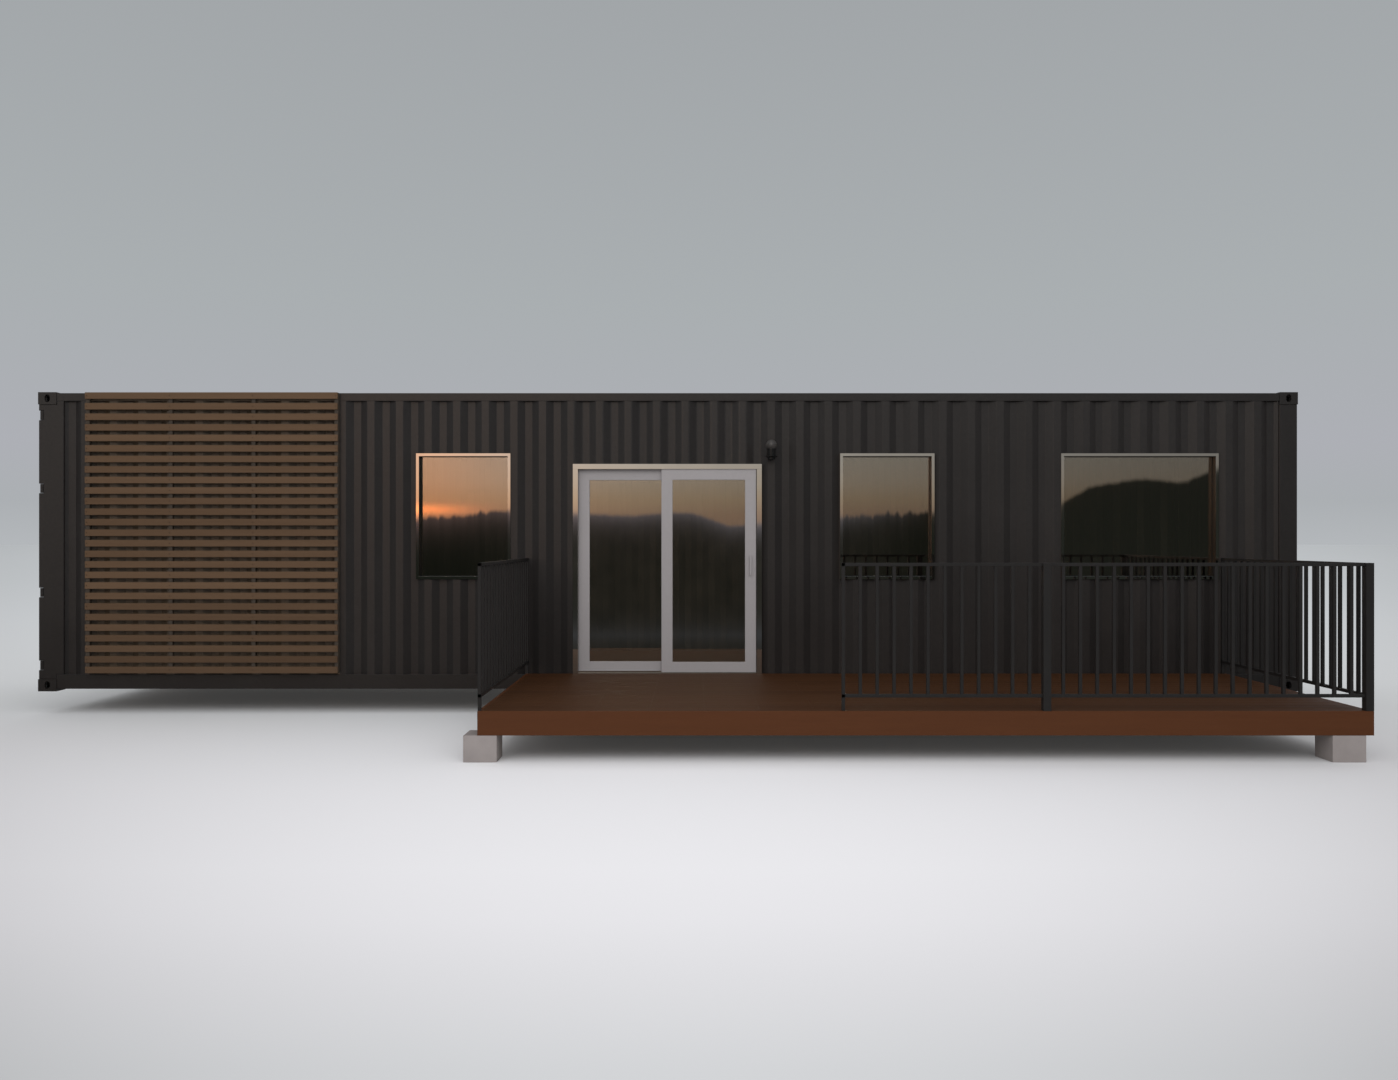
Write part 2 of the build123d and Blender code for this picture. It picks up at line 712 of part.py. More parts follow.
# Wall lamp: rose, arm, foot, brimmed plate and cup, with a glass globe and a bulb in the cup.
# The round pieces are flat-sided lengths between rings of (height, radius) about one upright
# axis, and the brim, the globe and the bulb are the same above and below their middle planes.
lamp_y = wall_inset - lamp_reach
plate_bottom = lamp_foot + lamp_foot_height
plate_middle = plate_bottom + lamp_plate_thickness / 2
plate_top = plate_bottom + lamp_plate_thickness
lamp_cup_top = plate_top + lamp_cup_height
lamp_globe_height = lamp_cup_top + lamp_globe_rise
arm_level = plate_top + lamp_arm_radius
brim = ((plate_middle, lamp_plate_radius), (plate_middle + lamp_glass, lamp_plate_radius),
        (plate_top, lamp_cup_radius))
globe_middle = Plane((lamp_x, lamp_y, lamp_globe_height))


def length_and_taper(lower, upper):
    """Height of the length between two rings, and its taper in degrees."""
    height = upper[0] - lower[0]
    narrowing = (lower[1] - upper[1]) * cos(pi / lamp_sides)
    return height, degrees(atan2(narrowing, height))


def half_ball(radius, steps):
    """Rings from the globe's middle plane up to a small crown."""
    turns = [0.44 * pi * step / steps for step in range(steps + 1)]
    return [(lamp_globe_height + radius * sin(turn), radius * cos(turn)) for turn in turns]


with BuildPart() as lamp_bracket:
    for lower, upper in zip(brim, brim[1:]):
        height, taper = length_and_taper(lower, upper)
        with BuildSketch(Plane((lamp_x, lamp_y, lower[0]))):
            RegularPolygon(lower[1], lamp_sides)
        extrude(amount=height, taper=taper)
    mirror(about=Plane((lamp_x, lamp_y, plate_middle)))
    with BuildSketch(Plane((lamp_x, lamp_y, lamp_foot))):
        RegularPolygon(lamp_cup_radius - lamp_glass, lamp_sides)
    extrude(amount=lamp_foot_height)
    with BuildSketch(Plane((lamp_x, lamp_y, plate_bottom))):
        RegularPolygon(lamp_cup_radius, lamp_sides)
    extrude(amount=lamp_cup_top - plate_bottom)
    with BuildSketch(Plane((lamp_x, lamp_y, arm_level), x_dir=(1, 0, 0), z_dir=(0, 1, 0))):
        RegularPolygon(lamp_arm_radius, 12)
    extrude(amount=lamp_reach - lamp_rose_thickness)
    with BuildSketch(Plane((lamp_x, wall_inset, arm_level), x_dir=(1, 0, 0), z_dir=(0, -1, 0))):
        RegularPolygon(lamp_rose_radius, lamp_sides)
    extrude(amount=lamp_rose_thickness)
lamp_bracket.part.label = "lamp_bracket"
export_step(lamp_bracket.part, "parts/lamp_bracket.step")

outside = half_ball(lamp_globe_radius, 4)
inside = half_ball(lamp_globe_radius - lamp_glass, 4)
with BuildPart() as lamp_globe:
    for lower, upper in zip(outside, outside[1:]):
        height, taper = length_and_taper(lower, upper)
        with BuildSketch(Plane((lamp_x, lamp_y, lower[0]))):
            RegularPolygon(lower[1], lamp_sides)
        extrude(amount=height, taper=taper)
    mirror(about=globe_middle)
    with BuildPart(mode=Mode.SUBTRACT):
        for lower, upper in zip(inside, inside[1:]):
            height, taper = length_and_taper(lower, upper)
            with BuildSketch(Plane((lamp_x, lamp_y, lower[0]))):
                RegularPolygon(lower[1], lamp_sides)
            extrude(amount=height, taper=taper)
        mirror(about=globe_middle)
    split(bisect_by=Plane((lamp_x, lamp_y, lamp_cup_top)), keep=Keep.TOP)
lamp_globe.part.label = "lamp_globe"
export_step(lamp_globe.part, "parts/lamp_globe.step")

bulb = half_ball(lamp_bulb_radius, 3)
with BuildPart() as lamp_bulb:
    for lower, upper in zip(bulb, bulb[1:]):
        height, taper = length_and_taper(lower, upper)
        with BuildSketch(Plane((lamp_x, lamp_y, lower[0]))):
            RegularPolygon(lower[1], lamp_sides)
        extrude(amount=height, taper=taper)
    mirror(about=globe_middle)
    with BuildSketch(Plane((lamp_x, lamp_y, lamp_cup_top))):
        RegularPolygon(lamp_neck_radius, lamp_sides)
    extrude(amount=lamp_globe_rise)
lamp_bulb.part.label = "lamp_bulb"
export_step(lamp_bulb.part, "parts/lamp_bulb.step")

# Deck frame: ledger on the container, rims and joists in one nailed grid
inside_left = deck_left + fascia_thickness
inside_right = deck_right - fascia_thickness
inside_front = deck_front + fascia_thickness
joist_run = inside_right - inside_left - joist_width
joist_spaces = round(joist_run / joist_pitch)
with BuildPart() as deck_frame:
    block(inside_left, inside_right, frame_inset - joist_width, frame_inset, fascia_bottom, joist_top)
    block(inside_left, inside_right, inside_front, inside_front + joist_width, fascia_bottom, joist_top)
    for number in range(joist_spaces + 1):
        left = inside_left + number * joist_run / joist_spaces
        block(left, left + joist_width, inside_front, frame_inset, fascia_bottom, joist_top)
deck_frame.part.label = "deck_frame"
export_step(deck_frame.part, "parts/deck_frame.step")

# Deck boards, the last one ripped to what is left beside the container
board_pitch = board_width + board_gap
board_count = ceil((frame_front - inside_front) / board_pitch)
with BuildPart() as deck_boards:
    for number in range(board_count):
        front = inside_front + number * board_pitch
        block(inside_left, inside_right, front, min(front + board_width, frame_front),
              joist_top, deck_height)
deck_boards.part.label = "deck_boards"
export_step(deck_boards.part, "parts/deck_boards.step")

# Fascia boards on the deck's three open sides
with BuildPart() as deck_fascia:
    block(deck_left, deck_right, deck_front, inside_front, fascia_bottom, deck_height)
    block(deck_left, inside_left, deck_front, frame_inset, fascia_bottom, deck_height)
    block(inside_right, deck_right, deck_front, frame_inset, fascia_bottom, deck_height)
deck_fascia.part.label = "deck_fascia"
export_step(deck_fascia.part, "parts/deck_fascia.step")

# Railings of square steel tube, with the rails on the middle line of the posts
rail_low = deck_height + rail_lift
rail_line = deck_front + corner_post / 2
front_y = (rail_line - rail_section / 2, rail_line + rail_section / 2)


def places_between(start, end, pitch):
    """Middles of the balusters between two posts, evenly spaced at about the pitch."""
    spaces = round((end - start) / pitch)
    return [start + number * (end - start) / spaces for number in range(1, spaces)]


front_end = deck_right - corner_post
mid_post = (mid_post_centre - corner_post / 2, mid_post_centre + corner_post / 2)
first_middle = front_railing_start + rail_section / 2
with BuildPart() as front_railing:
    block(front_railing_start, front_railing_start + rail_section, *front_y, deck_height, railing_top)
    block(*mid_post, deck_front, deck_front + corner_post, deck_height, railing_top)
    block(front_end, deck_right, deck_front, deck_front + corner_post, deck_height, railing_top)
    block(front_railing_start, front_end, *front_y, railing_top - rail_section, railing_top)
    block(front_railing_start, front_end, *front_y, rail_low, rail_low + rail_section)
    for start, end in ((first_middle, mid_post_centre), (mid_post_centre, deck_right - corner_post / 2)):
        for middle in places_between(start, end, baluster_pitch):
            block(middle - rail_section / 2, middle + rail_section / 2, *front_y, rail_low, railing_top)
front_railing.part.label = "front_railing"
export_step(front_railing.part, "parts/front_railing.step")

side_railings = (("left_railing", deck_left, deck_left + rail_section, front_y[0]),
                 ("right_railing", front_end + (corner_post - rail_section) / 2,
                  front_end + (corner_post + rail_section) / 2, deck_front + corner_post))
for node, x0, x1, start in side_railings:
    with BuildPart() as side_railing:
        block(x0, x1, start, 0, railing_top - rail_section, railing_top)
        block(x0, x1, start, 0, rail_low, rail_low + rail_section)
        block(x0, x1, -rail_section, 0, deck_height, railing_top)
        if start == front_y[0]:
            block(x0, x1, start, start + rail_section, deck_height, railing_top)
        for middle in places_between(rail_line, -rail_section / 2, baluster_pitch):
            block(x0, x1, middle - rail_section / 2, middle + rail_section / 2, rail_low, railing_top)
    side_railing.part.label = node
    export_step(side_railing.part, f"parts/{node}.step")

# Concrete blocks under the deck's front corners
right_block_end = deck_right - right_block_setback
with BuildPart() as deck_blocks:
    for left in (deck_left - left_block_overhang, right_block_end - block_side):
        block(left, left + block_side, deck_front, deck_front + block_side, 0, block_height)
deck_blocks.part.label = "deck_blocks"
export_step(deck_blocks.part, "parts/deck_blocks.step")

# Concrete blocks and steel bearing plates under the container, where its load comes down
end_block = right_end - block_side / 2
front_places = (deck_left + block_side / 2, (deck_left + end_block) / 2, end_block)
back_places = (-end_block, 0, end_block)
with BuildPart() as container_blocks:
    for x in front_places:
        block(x - block_side / 2, x + block_side / 2, 0, block_side, 0, block_height)
    for x in back_places:
        block(x - block_side / 2, x + block_side / 2, back_face - block_side, back_face, 0, block_height)
container_blocks.part.label = "container_blocks"
export_step(container_blocks.part, "parts/container_blocks.step")

with BuildPart() as bearing_plates:
    for low, places in ((frame_inset, front_places),
                        (back_face - frame_inset - plate_side, back_places)):
        for x in places:
            under_casting = abs(x) == end_block
            height = plate_thickness if under_casting else plate_thickness + casting_drop
            block(x - plate_side / 2, x + plate_side / 2, low, low + plate_side,
                  block_height, block_height + height)
bearing_plates.part.label = "bearing_plates"
export_step(bearing_plates.part, "parts/bearing_plates.step")
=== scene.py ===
"""Looks of the shipping container cabin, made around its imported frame, in metres."""
import json
import math

import bmesh
import bpy
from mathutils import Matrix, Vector

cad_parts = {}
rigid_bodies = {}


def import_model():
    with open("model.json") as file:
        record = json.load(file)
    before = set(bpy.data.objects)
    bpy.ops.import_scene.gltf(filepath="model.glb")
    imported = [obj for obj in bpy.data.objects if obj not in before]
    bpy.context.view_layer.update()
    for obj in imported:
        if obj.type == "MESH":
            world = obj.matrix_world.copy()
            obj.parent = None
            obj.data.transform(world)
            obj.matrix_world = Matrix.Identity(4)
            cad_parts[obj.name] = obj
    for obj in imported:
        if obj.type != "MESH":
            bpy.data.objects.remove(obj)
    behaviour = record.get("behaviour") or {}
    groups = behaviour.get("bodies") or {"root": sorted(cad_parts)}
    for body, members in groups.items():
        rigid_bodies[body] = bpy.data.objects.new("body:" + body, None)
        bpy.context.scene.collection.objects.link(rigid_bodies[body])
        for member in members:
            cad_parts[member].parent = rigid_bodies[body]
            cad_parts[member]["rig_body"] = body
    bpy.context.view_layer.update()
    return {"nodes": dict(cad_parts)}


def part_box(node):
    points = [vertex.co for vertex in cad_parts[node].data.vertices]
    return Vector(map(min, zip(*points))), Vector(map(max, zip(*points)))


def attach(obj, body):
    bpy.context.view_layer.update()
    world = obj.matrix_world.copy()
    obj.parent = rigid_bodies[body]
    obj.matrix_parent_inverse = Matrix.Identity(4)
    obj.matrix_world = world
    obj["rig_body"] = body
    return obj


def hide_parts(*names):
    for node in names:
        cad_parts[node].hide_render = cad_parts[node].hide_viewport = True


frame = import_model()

scene = bpy.context.scene
scene.view_settings.view_transform = "Standard"

# Camera: level, at eye height in front of the deck, as the photograph was taken.
# Its lens follows from the photograph's width and the focal length in its pixels.
photo_width = 1398
focal_pixels = 1142
camera_data = bpy.data.cameras.new("camera")
camera_data.sensor_width = 36
camera_data.lens = camera_data.sensor_width * focal_pixels / photo_width
camera = bpy.data.objects.new("camera", camera_data)
camera.location = (0.300, -11.05, 1.678)
camera.rotation_euler = (math.radians(90), 0, 0)
scene.collection.objects.link(camera)
scene.camera = camera


# Studio world: plain soft light for the object, a pale grey backdrop for the camera, and
# for gloss and glass alone an evening sky over low hills, which is what they mirror.
def add(tree, kind, wires=(), **settings):
    """Adds a node and gives its outputs; a wire is a value or the socket that feeds it."""
    made = tree.nodes.new(kind)
    for key, value in settings.items():
        setattr(made, key, value)
    for socket, value in dict(wires).items():
        if isinstance(value, bpy.types.NodeSocket):
            tree.links.new(value, made.inputs[socket])
        else:
            made.inputs[socket].default_value = value
    return made.outputs


def calc(tree, operation, first, second=0.0, third=0.0):
    """One step of arithmetic on numbers."""
    return add(tree, "ShaderNodeMath", {0: first, 1: second, 2: third}, operation=operation)[0]


def between(tree, value, start, end, first=0.0, last=1.0):
    """Goes evenly from the first number to the last while a value goes from start to end."""
    return add(tree, "ShaderNodeMapRange", {0: value, 1: start, 2: end, 3: first, 4: last})[0]


def fade(tree, distance, reach):
    """Falls from 1 towards 0 as a distance grows past its reach."""
    return calc(tree, "EXPONENT", calc(tree, "DIVIDE", distance, -reach))


def squared(tree, value):
    """A number times itself."""
    return calc(tree, "POWER", value, 2.0)


def blend(tree, share, first, second, kind="MIX"):
    """Mixes two colours by a share from 0 to 1."""
    first, second = ((*colour, 1) if isinstance(colour, tuple) else colour for colour in (first, second))
    return add(tree, "ShaderNodeMix", {0: share, 6: first, 7: second}, data_type="RGBA", blend_type=kind)[2]


def ramp(tree, value, stops):
    """Colours along a value from 0 to 1, given as (place, colour) stops."""
    made = tree.nodes.new("ShaderNodeValToRGB")
    while len(made.color_ramp.elements) < len(stops):
        made.color_ramp.elements.new(0.5)
    for element, (place, colour) in zip(made.color_ramp.elements, stops):
        element.position = place
        element.color = (*colour, 1)
    tree.links.new(value, made.inputs[0])
    return made.outputs[0]


def levels(tree, value, *stops):
    """Numbers along a value from 0 to 1, given as (place, number) stops."""
    return ramp(tree, value, [(place, (level, level, level)) for place, level in stops])


def noise(tree, place, scale, detail, roughness=0.5, distortion=0.0):
    """A cloudy pattern from 0 to 1."""
    return add(tree, "ShaderNodeTexNoise", {"Vector": place, "Scale": scale, "Detail": detail,
                                            "Roughness": roughness, "Distortion": distortion})["Fac"]


world = bpy.data.worlds.new("studio")
world.use_nodes = True
scene.world = world
sky = world.node_tree
sky.nodes.clear()
heading = add(sky, "ShaderNodeTexCoord")["Generated"]
part = add(sky, "ShaderNodeSeparateXYZ", {0: heading})
least_forward = 0.0001
forward = calc(sky, "MAXIMUM", squared(sky, part["Y"]), least_forward)
level_part = calc(sky, "SQRT", calc(sky, "ADD", squared(sky, part["X"]), forward))
bearing = calc(sky, "ARCTAN2", part["X"], calc(sky, "MULTIPLY", part["Y"], -1.0))
rise = calc(sky, "DIVIDE", part["Z"], level_part)
backdrop = ramp(sky, calc(sky, "MULTIPLY_ADD", part["Z"], 2.0, 0.1), (
    (0.0, (0.50, 0.52, 0.54)),
    (0.1, (0.45, 0.47, 0.49)),
    (0.16, (0.41, 0.43, 0.45)),
    (0.25, (0.420, 0.431, 0.465)),
    (0.50, (0.400, 0.426, 0.441)),
    (1.0, (0.355, 0.375, 0.39))))

# Evening sky: it glows round a low sun, dims to the sides and turns from warm to blue
# with height. A small bright core lies over the skyline where the sun goes down.
sun_bearing = math.radians(-15)
sun_size = math.radians(8)
glow_reach = math.radians(18)
warm_reach = math.radians(2)
off_sun = squared(sky, calc(sky, "SUBTRACT", bearing, sun_bearing))
from_sun = calc(sky, "SQRT", calc(sky, "ADD", off_sun, sun_size ** 2))
far_from_sun = (0.115, 0.113, 0.104)
near_sun = (1.05, 0.91, 0.74)
open_sky = blend(sky, fade(sky, from_sun, glow_reach), far_from_sun, near_sun)
beside_sun = fade(sky, calc(sky, "SUBTRACT", from_sun, sun_size), warm_reach)
sunward = blend(sky, beside_sun, (0, 0, 0), (0.36, 0.05, 0.0))
height_tint = ramp(sky, calc(sky, "MULTIPLY", rise, 2.0), (
    (0.04, (0.62, 0.50, 0.46)),
    (0.07, (0.73, 0.66, 0.59)),
    (0.10, (0.79, 0.79, 0.81)),
    (0.14, (0.79, 0.85, 0.95)),
    (0.50, (0.72, 0.86, 1.0)),
    (1.0, (0.60, 0.78, 1.0))))
sky_gain = 1.265
height_tint = blend(sky, 1.0, height_tint, (sky_gain, sky_gain, sky_gain), "MULTIPLY")
dusk = blend(sky, 1.0, blend(sky, 1.0, open_sky, sunward, "ADD"), height_tint, "MULTIPLY")
dusk = blend(sky, 1.0, dusk, blend(sky, beside_sun, (1, 1, 1), (1.0, 0.91, 0.74)), "MULTIPLY")
core_bearing = math.radians(-14.2)
core_width = math.radians(2.35)
core_rise = 0.026
core_height = 0.0045
off_core = squared(sky, calc(sky, "DIVIDE", calc(sky, "SUBTRACT", bearing, core_bearing), core_width))
over_core = squared(sky, calc(sky, "DIVIDE", calc(sky, "SUBTRACT", rise, core_rise), core_height))
core = fade(sky, calc(sky, "ADD", off_core, over_core), 1.0)
dusk = blend(sky, 1.0, dusk, blend(sky, core, (0, 0, 0), (1.65, 0.40, 0.06)), "ADD")

# Hills: a dark skyline with ragged treetops, hazy below its edge, scrub in the middle
# and one paler track. Behind the cabin the mirrored view is plain grey.
along_skyline = calc(sky, "ADD", bearing, 0.5)
hill_scale = 0.1
hills = levels(sky, along_skyline, (0.26, 0.187), (0.30, 0.208), (0.32, 0.25), (0.35, 0.25), (0.44, 0.21),
               (0.475, 0.24), (0.495, 0.235), (0.527, 0.12), (0.56, 0.15), (0.66, 0.22), (0.80, 0.26),
               (0.83, 0.44), (0.87, 0.50), (0.90, 0.46), (0.93, 0.58))
ragged = add(sky, "ShaderNodeTexNoise", {"W": bearing, "Scale": 150.0, "Detail": 8.0, "Roughness": 0.68},
             noise_dimensions="1D")["Fac"]
treetops = levels(sky, along_skyline, (0.32, 0.010), (0.34, 0.003), (0.61, 0.003), (0.63, 0.015),
                  (0.72, 0.015), (0.76, 0.004))
ragged_middle = 0.48
crowns = calc(sky, "MULTIPLY", calc(sky, "SUBTRACT", ragged, ragged_middle), treetops)
below = calc(sky, "SUBTRACT", calc(sky, "MULTIPLY_ADD", hills, hill_scale, crowns), rise)
edge_blur = 0.0025
in_sky = add(sky, "ShaderNodeMapRange", {0: below, 1: edge_blur, 2: -edge_blur},
             interpolation_type="SMOOTHSTEP")[0]
ahead = between(sky, calc(sky, "ABSOLUTE", bearing), start=0.20, end=0.09)
far_right = between(sky, bearing, start=0.24, end=0.32)
scrub = blend(sky, noise(sky, heading, scale=60.0, detail=5.0), (0.012, 0.014, 0.012), (0.045, 0.043, 0.038))
aside = blend(sky, far_right, (0.012, 0.0145, 0.0115), (0.021, 0.024, 0.021))
ground = blend(sky, ahead, aside, scrub)
depth_of_hills = calc(sky, "MAXIMUM", below, 0.0)
haze_depth = 0.0065
haze = calc(sky, "MULTIPLY", fade(sky, depth_of_hills, haze_depth), ahead)
ground = blend(sky, haze, ground, (0.13, 0.145, 0.18))
sunny_depth = 0.010
sunny_reach = math.radians(9)
sunny = calc(sky, "MULTIPLY", fade(sky, depth_of_hills, sunny_depth), fade(sky, from_sun, sunny_reach))
ground = blend(sky, sunny, ground, (0.34, 0.24, 0.25))
track_rise = -0.083
track_width = 0.008
track = fade(sky, calc(sky, "ABSOLUTE", calc(sky, "SUBTRACT", rise, track_rise)), track_width)
ground = blend(sky, calc(sky, "MULTIPLY", track, ahead), ground, (0.052, 0.056, 0.064))
evening = blend(sky, in_sky, ground, dusk)
behind = between(sky, part["Y"], start=-0.1, end=0.3)
plain = blend(sky, calc(sky, "GREATER_THAN", part["Z"], 0.0), (0.10, 0.10, 0.10), (0.42, 0.43, 0.45))
evening = blend(sky, behind, evening, plain)

# Daylight: what lights the object, a little weaker from below. The mirrored evening is shown
# to glossy and transmitted rays only, and the backdrop to the camera.
day_strength = 0.74
under_strength = 0.8 * day_strength
seen_by = add(sky, "ShaderNodeLightPath")
day = blend(sky, calc(sky, "MULTIPLY_ADD", part["Z"], 0.5, 0.5), (under_strength,) * 3,
            (day_strength, day_strength, 1.02 * day_strength))
mirrored = calc(sky, "MAXIMUM", seen_by["Is Glossy Ray"], seen_by["Is Transmission Ray"])
shown = blend(sky, mirrored, day, evening)
shown = blend(sky, seen_by["Is Camera Ray"], shown, backdrop)
glowing = add(sky, "ShaderNodeBackground", {"Color": shown})[0]
add(sky, "ShaderNodeOutputWorld", {"Surface": glowing})

# Studio lamp: one large soft lamp high in front, so that front faces are a little brighter
# than sides and the floor keeps soft shadows.
lamp_data = bpy.data.lights.new("front softbox", "AREA")
lamp_data.shape = "RECTANGLE"
lamp_data.size = 14
lamp_data.size_y = 7
lamp_data.energy = 620
softbox = bpy.data.objects.new("front softbox", lamp_data)
softbox.location = (0.4, -13, 8)
lamp_aim = Vector((0, 0, 1))
softbox.rotation_euler = (lamp_aim - softbox.location).to_track_quat("-Z", "Y").to_euler()
softbox.visible_glossy = False
scene.collection.objects.link(softbox)


# Floor: a wide pale sheet, brightest in front of the deck and fading to the backdrop. Its tone is
# painted light, not its own colour: a painted pool of light in bands along its depth, darker towards
# the camera's place and palest under the deck and the cabin, where it lifts their shade, and a fan
# of painted shade to its sides. Bands and fan start at the camera's place, and a faint glow over the
# whole sheet lifts its shadows.
def surface(name):
    """A new material: the material, its tree, its object coordinates and its shader's sockets."""
    made = bpy.data.materials.new(name)
    made.use_nodes = True
    tree = made.node_tree
    return made, tree, add(tree, "ShaderNodeTexCoord")["Object"], tree.nodes["Principled BSDF"].inputs


def feed(tree, shader, **sockets):
    """Sets a shader's sockets, named with _ for a space, to values or to the sockets that feed them."""
    for label, value in sockets.items():
        socket = shader[label.replace("_", " ")]
        if isinstance(value, bpy.types.NodeSocket):
            tree.links.new(value, socket)
        else:
            socket.default_value = (*value, 1) if isinstance(value, tuple) else value


floor_half = 400
floor_corners = [(-floor_half, -floor_half, 0), (floor_half, -floor_half, 0),
                 (floor_half, floor_half, 0), (-floor_half, floor_half, 0)]
floor_mesh = bpy.data.meshes.new("floor")
floor_mesh.from_pydata(floor_corners, [], [(0, 1, 2, 3)])
floor = bpy.data.objects.new("floor", floor_mesh)
floor.visible_glossy = False
floor.visible_transmission = False
scene.collection.objects.link(floor)
pale_floor, tree, place, shader = surface("pale floor")
part = add(tree, "ShaderNodeSeparateXYZ", {0: place})
bands_start = -11.05
least_depth = 1.0
half_depth = 8.0
depth = calc(tree, "MAXIMUM", calc(tree, "SUBTRACT", part["Y"], bands_start), least_depth)
reach = calc(tree, "DIVIDE", depth, calc(tree, "ADD", depth, half_depth))
# Painted light: this ramp paints a pool of light along the floor's depth, palest under the deck and the
# cabin, where it lifts their shade.
along = ramp(tree, reach, (
    (0.31, (0.597, 0.607, 0.617)),
    (0.345, (0.684, 0.684, 0.698)),
    (0.387, (0.790, 0.785, 0.804)),
    (0.421, (0.848, 0.843, 0.862)),
    (0.49, (0.886, 0.881, 0.900)),
    (0.545, (0.900, 0.900, 0.915)),
    (0.60, (0.939, 0.958, 0.963)),
    (0.75, (0.900, 0.929, 0.944)),
    (0.857, (0.828, 0.862, 0.876)),
    (0.923, (0.799, 0.833, 0.847)),
    (0.976, (0.761, 0.794, 0.809))))
# Painted shade: the fan darkens the floor towards its sides.
fan_middle = 0.3
fan_edge = 0.7
side_shade_loss = 0.56
fan = calc(tree, "ABSOLUTE", calc(tree, "DIVIDE", calc(tree, "SUBTRACT", part["X"], fan_middle), depth))
side_painted_shade = calc(tree, "MULTIPLY_ADD", squared(tree, calc(tree, "MINIMUM", fan, fan_edge)), -side_shade_loss, 1.0)
# Painted light: a faint glow over the whole floor lifts its shadows.
feed(tree, shader, Roughness=1.0, Specular_IOR_Level=0.0, Emission_Color=(0.96, 1.0, 1.0),
     Emission_Strength=0.028, Base_Color=blend(tree, 1.0, along, side_painted_shade, "MULTIPLY"))
floor_mesh.materials.append(pale_floor)


# Container frame: corner castings, posts, beams and rails of folded steel, welded together.
# All steel of the container wears one dark charcoal enamel, sprayed on after welding: satin,
# a little dusty, and slightly chalked in patches.
def shader_group(name, inputs, outputs):
    """A new shader node group with named sockets: its tree, its input and its output sockets."""
    group = bpy.data.node_groups.new(name, "ShaderNodeTree")
    for label, kind, value in inputs:
        socket = group.interface.new_socket(label, in_out="INPUT", socket_type=kind)
        socket.default_value = value
    for label, kind in outputs:
        group.interface.new_socket(label, in_out="OUTPUT", socket_type=kind)
    return group, group.nodes.new("NodeGroupInput").outputs, group.nodes.new("NodeGroupOutput").inputs


def stretched(tree, place, factors):
    """Coordinates scaled by a factor on each axis."""
    return add(tree, "ShaderNodeVectorMath", {0: place, 1: factors}, operation="MULTIPLY")[0]


weathering, given, taken = shader_group(
    "weathering",
    (("Vector", "NodeSocketVector", (0, 0, 0)), ("Patch Scale", "NodeSocketFloat", 1.0),
     ("Streak Scale", "NodeSocketFloat", 6.0), ("Dust", "NodeSocketFloat", 0.5)),
    (("Patches", "NodeSocketFloat"), ("Streaks", "NodeSocketFloat"), ("Dusting", "NodeSocketFloat")))
patch = noise(weathering, given["Vector"], given["Patch Scale"], detail=5.0, roughness=0.6)
upright = stretched(weathering, given["Vector"], (1.0, 1.0, 0.05))
streak = noise(weathering, upright, given["Streak Scale"], detail=4.0)
speck = noise(weathering, given["Vector"], scale=38.0, detail=4.0)
dusting = calc(weathering, "MULTIPLY", calc(weathering, "MULTIPLY", speck, patch), given["Dust"])
weathering.links.new(patch, taken["Patches"])
weathering.links.new(streak, taken["Streaks"])
weathering.links.new(dusting, taken["Dusting"])


def worn(tree, place, patch_scale, streak_scale, dust):
    """The weathering group placed in a material, with its own values."""
    return add(tree, "ShaderNodeGroup", {"Vector": place, "Patch Scale": patch_scale,
                                         "Streak Scale": streak_scale, "Dust": dust}, node_tree=weathering)


def bump(tree, height, distance, strength=1.0):
    """A normal from a height field, its distance in metres."""
    wires = {"Height": height, "Distance": distance, "Strength": strength}
    return add(tree, "ShaderNodeBump", wires)["Normal"]


def varied(tree, pattern, least, spread):
    """A number that starts at its least and grows with a pattern by its spread."""
    return calc(tree, "MULTIPLY_ADD", pattern, spread, least)


container_paint, tree, place, shader = surface("container paint")
wear = worn(tree, place, patch_scale=0.9, streak_scale=5.0, dust=0.5)
enamel_and_painted_light = blend(tree, wear["Streaks"], (0.0130, 0.0109, 0.0105), (0.0190, 0.0160, 0.0154))
enamel_and_painted_light = blend(tree, wear["Dusting"], enamel_and_painted_light, (0.060, 0.052, 0.047))

# Painted light and shade in the paint: the pressed sheets, 8 mm behind the frame's face, are painted a
# little paler than the frame as painted light, the lower part of the cabin is painted darker as painted
# shade, and the wall behind the slats is painted lighter, a painted light that lifts the shade there.
part = add(tree, "ShaderNodeSeparateXYZ", {0: place})
# Painted light: the sheets are painted paler than the frame's faces.
sheet_painted_light = between(tree, part["Y"], start=0.0062, end=0.0078, first=1.0, last=1.17)
# Painted shade: the cabin is painted darker towards its foot.
cabin_painted_shade = between(tree, part["Z"], start=0.4, end=1.8, first=0.84, last=1.0)
enamel_and_painted_light = blend(tree, 1.0, enamel_and_painted_light, calc(tree, "MULTIPLY", sheet_painted_light, cabin_painted_shade), "MULTIPLY")
